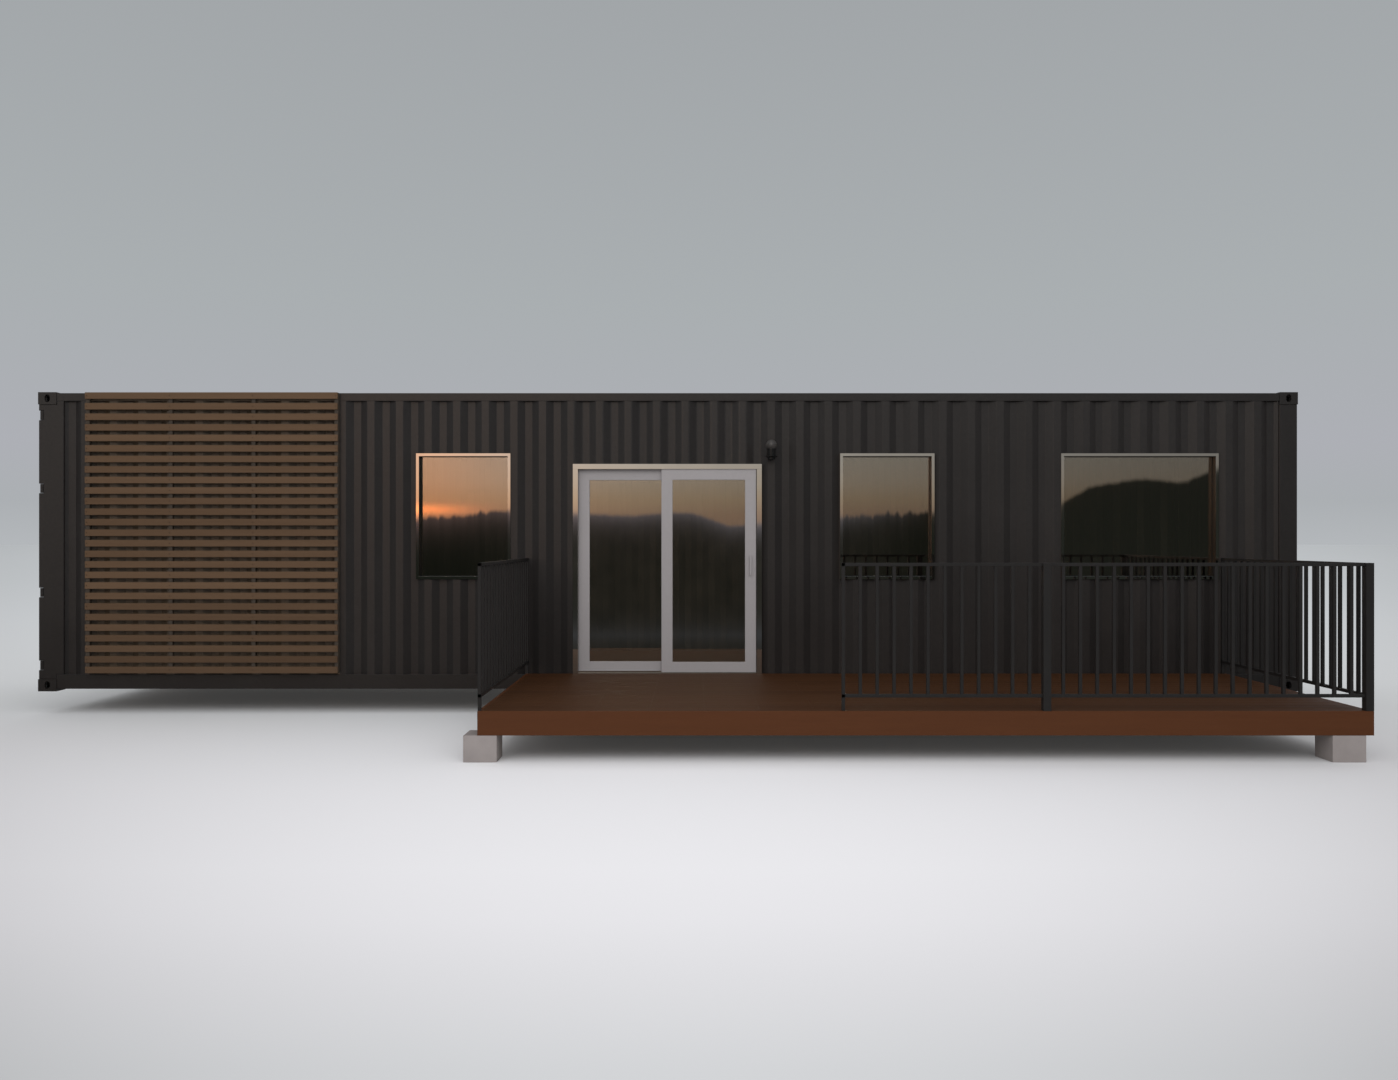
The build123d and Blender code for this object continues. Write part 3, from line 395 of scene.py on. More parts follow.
# Painted light behind the slats: the wall there is painted lighter, to lift the shade in the gaps between
# the slats.
low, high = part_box("screen_slats")
slat_gap_light_back = 0.1
slat_gap_light_foot = 0.378
slat_gap_painted_light = calc(tree, "MULTIPLY", calc(tree, "GREATER_THAN", part["X"], low.x),
                 calc(tree, "LESS_THAN", part["X"], high.x))
slat_gap_painted_light = calc(tree, "MULTIPLY", slat_gap_painted_light, calc(tree, "LESS_THAN", part["Y"], slat_gap_light_back))
slat_gap_painted_light = calc(tree, "MULTIPLY", slat_gap_painted_light, calc(tree, "GREATER_THAN", part["Z"], slat_gap_light_foot))
enamel_and_painted_light = blend(tree, slat_gap_painted_light, enamel_and_painted_light, (0.105, 0.074, 0.047))
peel = noise(tree, place, scale=9.0, detail=8.0, roughness=0.7)
feed(tree, shader, Base_Color=enamel_and_painted_light, Specular_IOR_Level=0.68,
     Roughness=varied(tree, wear["Patches"], least=0.24, spread=0.18),
     Normal=bump(tree, peel, distance=0.004, strength=0.25))


def made_of(name, shape, *finishes):
    """Ends a bmesh: the object of its mesh, with its finishes as materials, linked to the scene."""
    mesh = bpy.data.meshes.new(name)
    shape.to_mesh(mesh)
    shape.free()
    for finish in finishes:
        mesh.materials.append(finish)
    piece = bpy.data.objects.new(name, mesh)
    scene.collection.objects.link(piece)
    return piece


def round_edges(piece, radius, segments, limit, angle=18):
    """A modifier that rounds a piece's edges where their faces turn by more than an angle."""
    edges = piece.modifiers.new("rounded edges", "BEVEL")
    edges.width = radius
    edges.segments = segments
    edges.limit_method = limit
    edges.angle_limit = math.radians(angle)
    return edges


def level_faces(piece):
    """Keeps large faces flat beside their rounded edges."""
    level = piece.modifiers.new("level faces", "WEIGHTED_NORMAL")
    level.weight = 80
    level.keep_sharp = True


def softened(node, finish, radius, segments=2, cuts=None):
    """A copy of a CAD node with rounded edges, which stands for it. On a pressed sheet, given with
    the sides of the openings cut in it, its folds alone are rounded, and less close to a cut."""
    weld_distance = 0.00002
    flat_turn = math.radians(0.5)
    fold_least = math.radians(12)
    fold_most = math.radians(70)
    share_of_clearance = 0.7
    shape = bmesh.new()
    shape.from_mesh(frame["nodes"][node].data)
    bmesh.ops.remove_doubles(shape, verts=shape.verts, dist=weld_distance)
    bmesh.ops.dissolve_limit(shape, angle_limit=flat_turn, verts=shape.verts, edges=shape.edges)
    for face in shape.faces:
        face.smooth = bool(cuts)
        face.material_index = 0
    if cuts:
        weight = shape.edges.layers.float.new("bevel_weight_edge")
        for edge in shape.edges:
            turn = edge.calc_face_angle(0)
            edge.smooth = turn < fold_most
            if fold_least < turn < fold_most:
                clear = min(abs(edge.verts[0].co.x - side) for side in cuts)
                edge[weight] = min(1.0, share_of_clearance * clear / radius)
    piece = made_of(node + "_finished", shape, finish)
    edges = round_edges(piece, radius, segments, "WEIGHT" if cuts else "ANGLE")
    if cuts:
        edges.harden_normals = True
        level_faces(piece)
    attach(piece, frame["nodes"][node]["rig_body"])
    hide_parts(node)
    return piece


softened("corner_castings", container_paint, radius=0.006, segments=3)
for node in ("door_end_posts", "closed_end_posts", "closed_end_top_rail", "closed_end_bottom_rail"):
    softened(node, container_paint, radius=0.005)
for node in ("door_header", "door_sill"):
    softened(node, container_paint, radius=0.0015)
for node in ("top_rail_front", "top_rail_back", "bottom_rail_front", "bottom_rail_back", "cross_members"):
    softened(node, container_paint, radius=0.003)

# Walls and roof: steel sheet pressed into ribs, with the round bends that a press leaves,
# welded to the posts and rails. The openings for the windows and the door are cut square.
opening_sides = [side for node in ("left_window_frame", "middle_window_frame", "right_window_frame",
                                   "patio_door_head")
                 for side in (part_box(node)[0].x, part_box(node)[1].x)]
for node in ("back_wall", "closed_end_wall", "front_wall_left", "front_wall_over_door", "front_wall_right",
             "roof_sheet"):
    softened(node, container_paint, radius=0.012, segments=3, cuts=opening_sides)

# Cargo doors: two pressed steel leaves at the left end, hung on hinges in the notches of the
# posts and held by upright locking bars, all in the container's paint. A black rubber seal
# lies round each leaf.
for node in ("cargo_door_front_leaf", "cargo_door_back_leaf"):
    softened(node, container_paint, radius=0.0009)
for node in ("cargo_door_hinges", "locking_bars"):
    softened(node, container_paint, radius=0.003)


def boxes(name, finish, *pairs):
    """One mesh of square-edged blocks, each between two corners."""
    shape = bmesh.new()
    for first, second in pairs:
        made = bmesh.ops.create_cube(shape, size=1)["verts"]
        middle = (Vector(first) + Vector(second)) / 2
        for vert in made:
            vert.co = middle + Vector(a * b for a, b in zip(vert.co, Vector(second) - Vector(first)))
    bmesh.ops.recalc_face_normals(shape, faces=shape.faces)
    return made_of(name, shape, finish)


black_rubber, tree, _, shader = surface("black rubber")
feed(tree, shader, Base_Color=(0.009, 0.009, 0.009), Roughness=0.55)
seal_start = 0.010
seal_end = 0.030
seal_lip = 0.003
seal_bite = 0.0005
seal_meeting = 0.002
for node in ("cargo_door_front_leaf", "cargo_door_back_leaf"):
    low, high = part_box(node)
    near = low.x + seal_start
    far = low.x + seal_end
    foot = low.z - seal_lip
    top = high.z + seal_lip
    seals = boxes(node + "_seals", black_rubber,
                  ((near, low.y - seal_lip, foot), (far, high.y + seal_lip, low.z + seal_lip)),
                  ((near, low.y - seal_lip, high.z - seal_lip), (far, high.y + seal_lip, top)),
                  ((near, low.y - seal_lip, foot), (far, low.y + seal_bite, top)),
                  ((near, high.y - seal_bite, foot), (far, high.y + seal_meeting, top)))
    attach(seals, "cabin")

# Floor inside: sheets of marine plywood, 1.22 m wide, laid edge to edge with fine dark seams
# and screwed down on the cross members.
plywood, tree, place, shader = surface("floor plywood")
grain = noise(tree, stretched(tree, place, (1.2, 22.0, 1.0)), scale=2.0, detail=7.0)
part = add(tree, "ShaderNodeSeparateXYZ", {0: place})
sheet_width = 1.22
seam_half = 0.002
off_middle = calc(tree, "SUBTRACT", calc(tree, "FLOORED_MODULO", part["X"], sheet_width), sheet_width / 2)
cross_seam = calc(tree, "GREATER_THAN", calc(tree, "ABSOLUTE", off_middle), sheet_width / 2 - seam_half)
off_centre = calc(tree, "ABSOLUTE", calc(tree, "SUBTRACT", part["Y"], sheet_width))
seam = calc(tree, "MAXIMUM", cross_seam, calc(tree, "LESS_THAN", off_centre, seam_half))
sheet = blend(tree, grain, (0.15, 0.080, 0.044), (0.27, 0.158, 0.092))
feed(tree, shader, Roughness=0.55, Base_Color=blend(tree, seam, sheet, (0.03, 0.02, 0.012)),
     Normal=bump(tree, grain, distance=0.001))
softened("plywood_floor", plywood, radius=0.002)

# Patio door frame: a head, two jambs and a sill of bright extruded metal, screwed into the
# opening. The metal is close to a mirror, with faint streaks from wiping.
bright_metal, tree, place, shader = surface("bright window metal")
wear = worn(tree, place, patch_scale=3.0, streak_scale=30.0, dust=0.4)
feed(tree, shader, Metallic=1.0,
     Base_Color=blend(tree, wear["Patches"], (0.670, 0.640, 0.595), (0.780, 0.745, 0.685)),
     Roughness=varied(tree, wear["Streaks"], least=0.01, spread=0.04))
for node in ("patio_door_head", "patio_door_left_jamb", "patio_door_right_jamb", "patio_door_sill"):
    softened(node, bright_metal, radius=0.0007)

# Window frames: the same metal, mitred and joined at the corners, deep enough for the wall. A
# bead and a groove hold the pane. The reveal in front of it takes a darker, duller copy of the metal
# as painted shade, and black rubber at its foot as painted shade too, and a rubber gasket runs round the
# pane.
reveal_steps = range(3, 8)


def mitred(name, node, profile, rounding, *finishes):
    """A ring of one section, (inset, depth) points in order, mitred round a node's box. Of three
    finishes the second goes on the reveal, from point 1 on to point 4, and the third on its foot."""
    low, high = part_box(node)
    section = []
    for step, (inset, depth) in enumerate(profile):
        for beside in (profile[step - 1], profile[(step + 1) % len(profile)]):
            reach = rounding / max(abs(beside[0] - inset), abs(beside[1] - depth))
            section.append((inset + (beside[0] - inset) * reach, depth + (beside[1] - depth) * reach))
    shape = bmesh.new()
    corners = []
    for x, z, way_x, way_z in ((low.x, low.z, 1, 1), (high.x, low.z, -1, 1),
                               (high.x, high.z, -1, -1), (low.x, high.z, 1, -1)):
        corners.append([shape.verts.new((x + way_x * inset, low.y + depth, z + way_z * inset))
                        for inset, depth in section])
    for side, (here, after) in enumerate(zip(corners, corners[1:] + corners[:1])):
        for step in range(len(section)):
            beyond = (step + 1) % len(section)
            face = shape.faces.new((here[step], here[beyond], after[beyond], after[step]))
            if len(finishes) == 3 and step in reveal_steps:
                face.material_index = 2 if side == 0 else 1
    bmesh.ops.recalc_face_normals(shape, faces=shape.faces)
    piece = made_of(name, shape, *finishes)
    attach(piece, frame["nodes"][node]["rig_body"])
    return piece


window_face = 0.0285
bead_width = 0.003
bead_depth = 0.006
groove_depth = 0.008
bead_edge = window_face + bead_width
groove_edge = bead_edge - groove_depth
pane_front = 0.078
pane_back = 0.084
frame_back = 0.110
window_profile = ((0, 0), (window_face, 0), (window_face, pane_front - bead_depth),
                  (bead_edge, pane_front - bead_depth), (bead_edge, pane_front),
                  (groove_edge, pane_front), (groove_edge, pane_back),
                  (bead_edge, pane_back), (bead_edge, pane_back + bead_depth),
                  (window_face, pane_back + bead_depth), (window_face, frame_back), (0, frame_back))
gasket_foot = bead_edge - 0.001
gasket_lip = bead_edge + 0.0014
gasket_front = 0.0745
gasket_shoulder = 0.0762
gasket_back = 0.0779
gasket_profile = ((gasket_foot, gasket_front), (gasket_lip, gasket_shoulder),
                  (gasket_lip, gasket_back), (gasket_foot, gasket_back))
frame_rounding = 0.0008
gasket_rounding = 0.0003
# Painted shade: the reveal takes a darkened copy of the frame's metal.
reveal_painted_shade_metal, tree, _, shader = surface("dim reveal metal")
feed(tree, shader, Metallic=1.0, Base_Color=(0.13, 0.112, 0.098), Roughness=0.38)
# The reveal's foot takes black rubber as painted shade.
for node in ("left_window_frame", "middle_window_frame", "right_window_frame"):
    window_frame = mitred(node + "_mitred", node, window_profile, frame_rounding,
                          bright_metal, reveal_painted_shade_metal, black_rubber)
    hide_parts(node)
    gasket = mitred(node + "_gasket", node, gasket_profile, gasket_rounding, black_rubber)

# Door panels: white vinyl profiles, cut to a mitre and welded at their corners. The sliding one
# has a pull on its stile and two rollers underneath, which run on the rib of the sill.
white_vinyl, tree, place, shader = surface("white vinyl")
wear = worn(tree, place, patch_scale=2.0, streak_scale=12.0, dust=0.6)
feed(tree, shader, Base_Color=blend(tree, wear["Dusting"], (0.415, 0.390, 0.394), (0.30, 0.272, 0.262)),
     Roughness=varied(tree, wear["Patches"], least=0.3, spread=0.2))
for node in ("fixed_door_panel", "sliding_door_panel", "sliding_door_pull"):
    softened(node, white_vinyl, radius=0.003)
softened("sliding_door_rollers", white_vinyl, radius=0.0005)

# Glass: float glass with a thin bronze mirror coat, as sun control glass has, held by its edges
# in the grooves of the frames and the door panels.
glass, tree, place, shader = surface("window glass")
most_haze = 0.015
haze = calc(tree, "MULTIPLY", noise(tree, place, scale=3.0, detail=6.0), most_haze)
feed(tree, shader, Base_Color=(1.0, 0.93, 0.82), Metallic=0.25, Transmission_Weight=1.0, IOR=1.52,
     Roughness=haze)
for node in ("fixed_door_glass", "sliding_door_glass", "left_window_pane", "middle_window_pane",
             "right_window_pane"):
    pane = frame["nodes"][node]
    pane.data.materials.clear()
    pane.data.materials.append(glass)


# Slat screen: slats of oiled timber, each a board of its own tone and set a little unevenly,
# on dark upright battens. Four screws hold each slat.
def rounded(piece, radius):
    """Rounds a finished mesh's edges, with flat faces kept flat."""
    for face in piece.data.polygons:
        face.use_smooth = True
    edges = round_edges(piece, radius, segments=2, limit="ANGLE", angle=30)
    edges.harden_normals = True
    level_faces(piece)


def growing_tree(name, inputs):
    """A new Geometry Nodes tree with named inputs and a Geometry output: the tree and its inputs."""
    tree = bpy.data.node_groups.new(name, "GeometryNodeTree")
    for label, kind in inputs:
        tree.interface.new_socket(label, in_out="INPUT", socket_type=kind)
    tree.interface.new_socket("Geometry", in_out="OUTPUT", socket_type="NodeSocketGeometry")
    return tree, tree.nodes.new("NodeGroupInput").outputs


row_tree, given = growing_tree("row of bars", (
    ("Size", "NodeSocketVector"), ("Start", "NodeSocketVector"), ("Step", "NodeSocketVector"),
    ("Count", "NodeSocketInt"), ("Unevenness", "NodeSocketVector"), ("Seed", "NodeSocketInt"),
    ("Finish", "NodeSocketMaterial")))
line = add(row_tree, "GeometryNodeMeshLine", {"Count": given["Count"], "Start Location": given["Start"],
                                              "Offset": given["Step"]}, mode="OFFSET")[0]
bar = add(row_tree, "GeometryNodeMeshCube", {"Size": given["Size"]})["Mesh"]
bars = add(row_tree, "GeometryNodeInstanceOnPoints", {"Points": line, "Instance": bar})[0]
least = stretched(row_tree, given["Unevenness"], (-1, -1, -1))
shift = add(row_tree, "FunctionNodeRandomValue", {0: least, 1: given["Unevenness"], "Seed": given["Seed"]},
            data_type="FLOAT_VECTOR")[0]
bars = add(row_tree, "GeometryNodeTranslateInstances", {"Instances": bars, "Translation": shift})[0]
tint = add(row_tree, "FunctionNodeRandomValue", {2: 0.0, 3: 1.0, "Seed": given["Seed"]},
           data_type="FLOAT")[1]
bars = add(row_tree, "GeometryNodeStoreNamedAttribute",
           {"Geometry": bars, "Name": "board tone", "Value": tint}, data_type="FLOAT", domain="INSTANCE")[0]
bars = add(row_tree, "GeometryNodeRealizeInstances", {"Geometry": bars})[0]
bars = add(row_tree, "GeometryNodeSetMaterial", {"Geometry": bars, "Material": given["Finish"]})[0]
row_tree.links.new(bars, row_tree.nodes.new("NodeGroupOutput").inputs["Geometry"])


def grown(name, tree, **inputs):
    """Runs a Geometry Nodes tree with its inputs, set by identifier, and keeps the plain mesh it makes."""
    carrier = bpy.data.objects.new(name, bpy.data.meshes.new(name))
    scene.collection.objects.link(carrier)
    maker = carrier.modifiers.new("maker", "NODES")
    maker.node_group = tree
    for socket in tree.interface.items_tree:
        key = socket.name.replace(" ", "_")
        if socket.in_out == "INPUT" and key in inputs:
            maker[socket.identifier] = inputs[key]
    carrier.update_tag()
    bpy.context.view_layer.update()
    mesh = bpy.data.meshes.new_from_object(carrier.evaluated_get(bpy.context.evaluated_depsgraph_get()))
    carrier.modifiers.remove(maker)
    carrier.data = mesh
    return carrier


timber_grain, given, taken = shader_group(
    "timber grain",
    (("Vector", "NodeSocketVector", (0, 0, 0)), ("Along", "NodeSocketVector", (1, 12, 12)),
     ("Board Tone", "NodeSocketFloat", 0.5)),
    (("Tone", "NodeSocketFloat"), ("Height", "NodeSocketFloat")))
farthest_shift = 37.0
board_shift = calc(timber_grain, "MULTIPLY", given["Board Tone"], farthest_shift)
own_place = add(timber_grain, "ShaderNodeCombineXYZ", {0: board_shift, 1: given["Board Tone"],
                                                       2: given["Board Tone"]})[0]
drawn = stretched(timber_grain, given["Vector"], given["Along"])
drawn = add(timber_grain, "ShaderNodeVectorMath", {0: drawn, 1: own_place}, operation="ADD")[0]
broad = noise(timber_grain, drawn, scale=1.0, detail=4.0, distortion=0.8)
fine = noise(timber_grain, drawn, scale=7.0, detail=6.0, roughness=0.65)
fine_share = 0.45
broad_share = 0.55
both = calc(timber_grain, "MULTIPLY_ADD", fine, fine_share,
            calc(timber_grain, "MULTIPLY", broad, broad_share))
timber_grain.links.new(both, taken["Tone"])
timber_grain.links.new(fine, taken["Height"])


def timber(name, dark, light, along, roughness=0.5, shade_at_foot=1.0):
    """A timber finish: grain along the boards, a tone of its own for each board, and painted shade that
    darkens its foot.
    """
    board_share = 0.35
    grain_lift = 0.0012
    made, tree, place, shader = surface(name)
    board = add(tree, "ShaderNodeAttribute", attribute_name="board tone")["Fac"]
    wires = {"Vector": place, "Along": along, "Board Tone": board}
    grain = add(tree, "ShaderNodeGroup", wires, node_tree=timber_grain)
    own_grain = calc(tree, "MULTIPLY", grain["Tone"], 1 - board_share)
    colour = blend(tree, calc(tree, "MULTIPLY_ADD", board, board_share, own_grain), dark, light)
    height = add(tree, "ShaderNodeSeparateXYZ", {0: place})["Z"]
    # Painted shade: the timber is painted darker towards its foot.
    timber_painted_shade = between(tree, height, start=0.5, end=1.3, first=shade_at_foot, last=1.0)
    feed(tree, shader, Base_Color=blend(tree, 1.0, colour, timber_painted_shade, "MULTIPLY"), Specular_IOR_Level=0.25,
         Roughness=varied(tree, grain["Height"], least=roughness - 0.1, spread=0.2),
         Normal=bump(tree, grain["Height"], grain_lift))
    return made


# The slats take painted shade towards their foot.
slat_timber = timber("oiled slat timber", dark=(0.081, 0.0445, 0.0225), light=(0.166, 0.100, 0.056),
                     along=(0.7, 14, 14), shade_at_foot=0.8)
batten_timber = timber("dark batten timber", dark=(0.056, 0.044, 0.034), light=(0.095, 0.075, 0.057),
                       along=(14, 14, 0.7))
low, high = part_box("screen_slats")
middle = (low + high) / 2
slat_count = 27
slat_height = 0.0635
slat_gap = 0.004
slat_pitch = (high.z - low.z - slat_height) / (slat_count - 1)
lowest_slat = low.z + slat_height / 2
slats = grown("slats", row_tree, Size=(high.x - low.x - slat_gap, high.y - low.y, slat_height),
              Count=slat_count, Start=(middle.x, middle.y, lowest_slat), Step=(0, 0, slat_pitch),
              Unevenness=(0.002, 0, 0.0008), Seed=4, Finish=slat_timber)
rounded(slats, radius=0.003)
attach(slats, "cabin")
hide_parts("screen_slats")
softened("screen_battens", batten_timber, radius=0.002)

screw_tree, given = growing_tree("grid of screws", (
    ("Start", "NodeSocketVector"), ("Row Step", "NodeSocketVector"), ("Rows", "NodeSocketInt"),
    ("Screw Step", "NodeSocketVector"), ("Screws", "NodeSocketInt"), ("Turn", "NodeSocketVector"),
    ("Radius", "NodeSocketFloat"), ("Finish", "NodeSocketMaterial")))
head_height = 0.002
row = add(screw_tree, "GeometryNodeMeshLine", {"Count": given["Screws"], "Offset": given["Screw Step"]},
          mode="OFFSET")[0]
line = add(screw_tree, "GeometryNodeMeshLine", {"Count": given["Rows"], "Start Location": given["Start"],
                                                "Offset": given["Row Step"]}, mode="OFFSET")[0]
spots = add(screw_tree, "GeometryNodeInstanceOnPoints", {"Points": line, "Instance": row})[0]
spots = add(screw_tree, "GeometryNodeRealizeInstances", {"Geometry": spots})[0]
head = add(screw_tree, "GeometryNodeMeshCylinder", {"Vertices": 10, "Radius": given["Radius"],
                                                    "Depth": head_height})["Mesh"]
turned = add(screw_tree, "FunctionNodeEulerToRotation", {0: given["Turn"]})[0]
heads = add(screw_tree, "GeometryNodeInstanceOnPoints", {"Points": spots, "Instance": head,
                                                         "Rotation": turned})[0]
heads = add(screw_tree, "GeometryNodeRealizeInstances", {"Geometry": heads})[0]
heads = add(screw_tree, "GeometryNodeSetMaterial", {"Geometry": heads, "Material": given["Finish"]})[0]
screw_tree.links.new(heads, screw_tree.nodes.new("NodeGroupOutput").inputs["Geometry"])
dark_screw, tree, _, shader = surface("dark coated screw")
feed(tree, shader, Metallic=1.0, Base_Color=(0.10, 0.075, 0.055), Roughness=0.45)
screws_to_slat = 4
screw_inset = 0.019
screw_proud = 0.0004
screw_step = (high.x - low.x - 2 * screw_inset) / (screws_to_slat - 1)
slat_screws = grown("slat_screws", screw_tree, Start=(low.x + screw_inset, low.y - screw_proud, lowest_slat),
                    Row_Step=(0, 0, slat_pitch), Rows=slat_count, Screw_Step=(screw_step, 0, 0),
                    Screws=screws_to_slat, Turn=(math.radians(90), 0, 0), Radius=0.0042, Finish=dark_screw)
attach(slat_screws, "cabin")


# Wall lamp: a cast bracket in black enamel, screwed to the wall beside the door's head, with
# its bulb in the cup and a round globe of tinted glass over it.
def lathe(name, axis, outline, finish):
    """A turned piece: an outline of (radius, height) turned about an upright axis."""
    turns = 48
    shape = bmesh.new()
    rings = []
    for radius, height in outline:
        if radius == 0:
            rings.append([shape.verts.new((axis[0], axis[1], height))] * turns)
            continue
        rings.append([shape.verts.new((axis[0] + radius * math.cos(2 * math.pi * step / turns),
                                       axis[1] + radius * math.sin(2 * math.pi * step / turns), height))
                      for step in range(turns)])
    for lower, upper in zip(rings, rings[1:]):
        for step in range(turns):
            after = (step + 1) % turns
            corners = []
            for corner in (lower[step], lower[after], upper[after], upper[step]):
                if corner not in corners:
                    corners.append(corner)
            shape.faces.new(corners)
    bmesh.ops.recalc_face_normals(shape, faces=shape.faces)
    for face in shape.faces:
        face.smooth = True
    piece = made_of(name, shape, finish)
    piece.data.set_sharp_from_angle(angle=math.radians(35))
    return piece


lamp_black, tree, place, shader = surface("lamp black")
wear = worn(tree, place, patch_scale=20.0, streak_scale=60.0, dust=0.4)
feed(tree, shader, Base_Color=blend(tree, wear["Dusting"], (0.006, 0.006, 0.006), (0.03, 0.028, 0.025)),
     Roughness=varied(tree, wear["Patches"], least=0.25, spread=0.25))
softened("lamp_bracket", lamp_black, radius=0.001)
globe_glass, tree, place, shader = surface("globe glass")
feed(tree, shader, Base_Color=(0.27, 0.25, 0.235), Transmission_Weight=0.8, IOR=1.45,
     Roughness=varied(tree, noise(tree, place, scale=30.0, detail=4.0), least=0.25, spread=0.12))
low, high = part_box("lamp_globe")
axis = ((low.x + high.x) / 2, (low.y + high.y) / 2)
globe_radius = (high.x - low.x) / 2
globe_middle = high.z - globe_radius
globe_wall = 0.003
neck_turn = math.acos((globe_middle - low.z) / globe_radius)
lip_turn = 0.03


def ball(radius, start):
    """(radius, height) points along a ball's side, from a turn near its foot up to its crown."""
    steps = 20
    turns = [start + (math.pi - start) * step / steps for step in range(steps + 1)]
    return [(max(radius * math.sin(turn), 0.0) if turn < math.pi else 0,
             globe_middle - radius * math.cos(turn)) for turn in turns]


globe_side = ball(globe_radius - globe_wall, neck_turn + lip_turn)[::-1] + ball(globe_radius, neck_turn)
globe = lathe("globe", axis, globe_side, globe_glass)
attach(globe, "cabin")
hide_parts("lamp_globe")
softened("lamp_bulb", globe_glass, radius=0.001)

# Deck: stained timber boards on sawn joists, two screws through each board at each joist.
# The board at the wall is cut to fit. Fascia boards close the three open sides.
deck_timber = timber("stained deck timber", dark=(0.0455, 0.0162, 0.0043), light=(0.095, 0.0365, 0.0113),
                     along=(0.8, 14, 14), roughness=0.6)
fascia_timber = timber("stained fascia timber", dark=(0.078, 0.0245, 0.0070), light=(0.128, 0.043, 0.0130),
                       along=(0.6, 10, 14), roughness=0.6)
sawn_timber = timber("sawn joist timber", dark=(0.20, 0.13, 0.07), light=(0.36, 0.26, 0.16),
                     along=(10, 0.8, 10), roughness=0.7)
low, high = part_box("deck_boards")
middle = (low + high) / 2
board_length = high.x - low.x
board_thickness = high.z - low.z
board_count = 17
board_width = 0.139
board_pitch = 0.142
last_width = high.y - low.y - (board_count - 1) * board_pitch
boards = grown("deck_planks", row_tree, Size=(board_length, board_width, board_thickness),
               Count=board_count - 1, Start=(middle.x, low.y + board_width / 2, middle.z),
               Step=(0, board_pitch, 0), Unevenness=(0, 0.0007, 0.0004), Seed=11, Finish=deck_timber)
rounded(boards, radius=0.003)
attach(boards, "cabin")
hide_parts("deck_boards")
last_board = grown("last_deck_plank", row_tree, Size=(board_length, last_width, board_thickness), Count=1,
                   Start=(middle.x, high.y - last_width / 2, middle.z), Seed=12, Finish=deck_timber)
rounded(last_board, radius=0.003)
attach(last_board, "cabin")
joist_low, joist_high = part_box("deck_frame")
joist_width = 0.038
joist_count = 17
joist_step = (joist_high.x - joist_low.x - joist_width) / (joist_count - 1)
screw_edge = 0.030
for number, beside in enumerate((screw_edge, board_width - screw_edge)):
    screw_start = (joist_low.x + joist_width / 2, low.y + beside, high.z - screw_proud)
    deck_screws = grown(f"deck_screws_{number}", screw_tree, Rows=board_count, Screws=joist_count,
                        Radius=0.004, Finish=dark_screw, Start=screw_start,
                        Row_Step=(0, board_pitch, 0), Screw_Step=(joist_step, 0, 0))
    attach(deck_screws, "cabin")
softened("deck_fascia", fascia_timber, radius=0.003)
softened("deck_frame", sawn_timber, radius=0.002)

# Railings: square steel tube in matt black, with thin balusters welded between two rails and
# square posts that are bolted down on the deck.
railing_paint, tree, place, shader = surface("railing black")
wear = worn(tree, place, patch_scale=4.0, streak_scale=20.0, dust=0.35)
feed(tree, shader,
     Base_Color=blend(tree, wear["Dusting"], (0.0160, 0.0145, 0.0140), (0.046, 0.042, 0.039)),
     Roughness=varied(tree, wear["Patches"], least=0.4, spread=0.2))
tube = 0.0254
baluster = 0.0244
post = 0.060
rail_lift = 0.100
baluster_pitch = 0.127
weld_depth = 0.001
tube_rounding = 0.0015


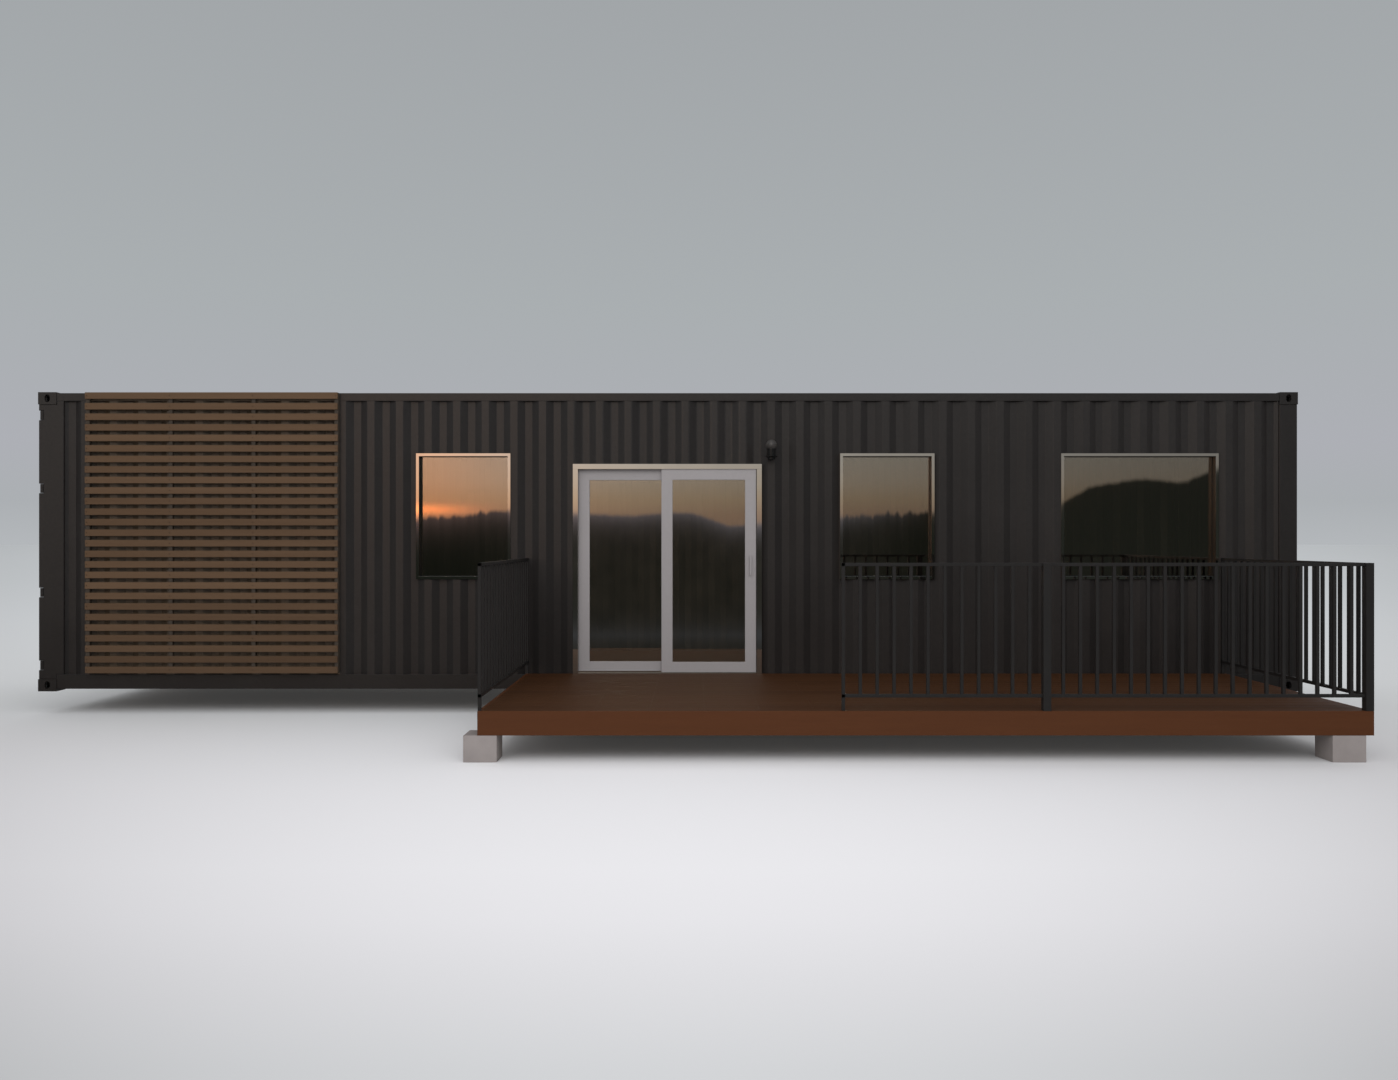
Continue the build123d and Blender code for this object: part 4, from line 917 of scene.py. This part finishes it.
def railing(node, along, line, stops, posts):
    """Rails and posts of one railing, and its balusters between each two of the stops. It runs
    along X where along is 0 and along Y where it is 1, and its line is its place on the other."""
    low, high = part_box(node)
    aside = 1 - along
    pairs = []
    for level in (low.z + rail_lift, high.z - tube):
        ends = [[0, 0, level], [0, 0, level + tube]]
        ends[0][along], ends[1][along] = low[along], high[along]
        ends[0][aside], ends[1][aside] = line - tube / 2, line + tube / 2
        pairs.append(ends)
    frame_piece = boxes(node + "_frame", railing_paint, *pairs, *posts)
    rounded(frame_piece, radius=tube_rounding)
    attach(frame_piece, "cabin")
    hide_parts(node)
    baluster_height = high.z - low.z - rail_lift - 2 * tube + 2 * weld_depth
    for number, (start, end) in enumerate(zip(stops, stops[1:])):
        spaces = round((end - start) / baluster_pitch)
        step = [0, 0, 0]
        step[along] = (end - start) / spaces
        first = [0, 0, (low.z + rail_lift + high.z) / 2]
        first[along], first[aside] = start + step[along], line
        row = grown(f"{node}_balusters_{number}", row_tree, Size=(baluster, baluster, baluster_height),
                    Start=first, Step=step, Count=spaces - 1, Seed=number, Finish=railing_paint)
        rounded(row, radius=tube_rounding)
        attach(row, "cabin")


low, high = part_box("front_railing")
front_line = low.y + post / 2
to_mid_post = 1.549
mid_post = low.x + to_mid_post
front_stops = (low.x + tube / 2, mid_post, high.x - post / 2)
railing("front_railing", along=0, line=front_line, stops=front_stops, posts=(
    ((low.x, front_line - tube / 2, low.z), (low.x + tube, front_line + tube / 2, high.z)),
    ((mid_post - post / 2, low.y, low.z), (mid_post + post / 2, low.y + post, high.z)),
    ((high.x - post, low.y, low.z), (high.x, low.y + post, high.z))))
low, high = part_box("left_railing")
railing("left_railing", along=1, line=(low.x + high.x) / 2, stops=(front_line, high.y - tube / 2), posts=(
    ((low.x, low.y, low.z), (high.x, low.y + tube, high.z)),
    ((low.x, high.y - tube, low.z), (high.x, high.y, high.z))))
low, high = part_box("right_railing")
railing("right_railing", along=1, line=(low.x + high.x) / 2, stops=(front_line, high.y - tube / 2), posts=(
    ((low.x, high.y - tube, low.z), (high.x, high.y, high.z)),))

# Concrete blocks: cast, with open pores and slightly broken edges. They stand on the ground
# and carry the deck, and the container by steel plates that lie on them.
cast_concrete, tree, place, shader = surface("cast concrete")
wear = worn(tree, place, patch_scale=6.0, streak_scale=16.0, dust=1.0)
pores = add(tree, "ShaderNodeTexVoronoi", {"Vector": place, "Scale": 90.0})["Distance"]
grit = noise(tree, place, scale=160.0, detail=4.0)
pore_depth = 0.25
pore_blend = 0.1
grit_depth = 0.4
pitted = calc(tree, "SMOOTH_MIN", pores, pore_depth, pore_blend)
relief = calc(tree, "ADD", pitted, calc(tree, "MULTIPLY", grit, grit_depth))
feed(tree, shader, Base_Color=blend(tree, wear["Patches"], (0.247, 0.221, 0.212), (0.367, 0.327, 0.312)),
     Roughness=0.9, Normal=bump(tree, relief, distance=0.002))
for node in ("deck_blocks", "container_blocks"):
    softened(node, cast_concrete, radius=0.004, segments=3)
softened("bearing_plates", container_paint, radius=0.001)
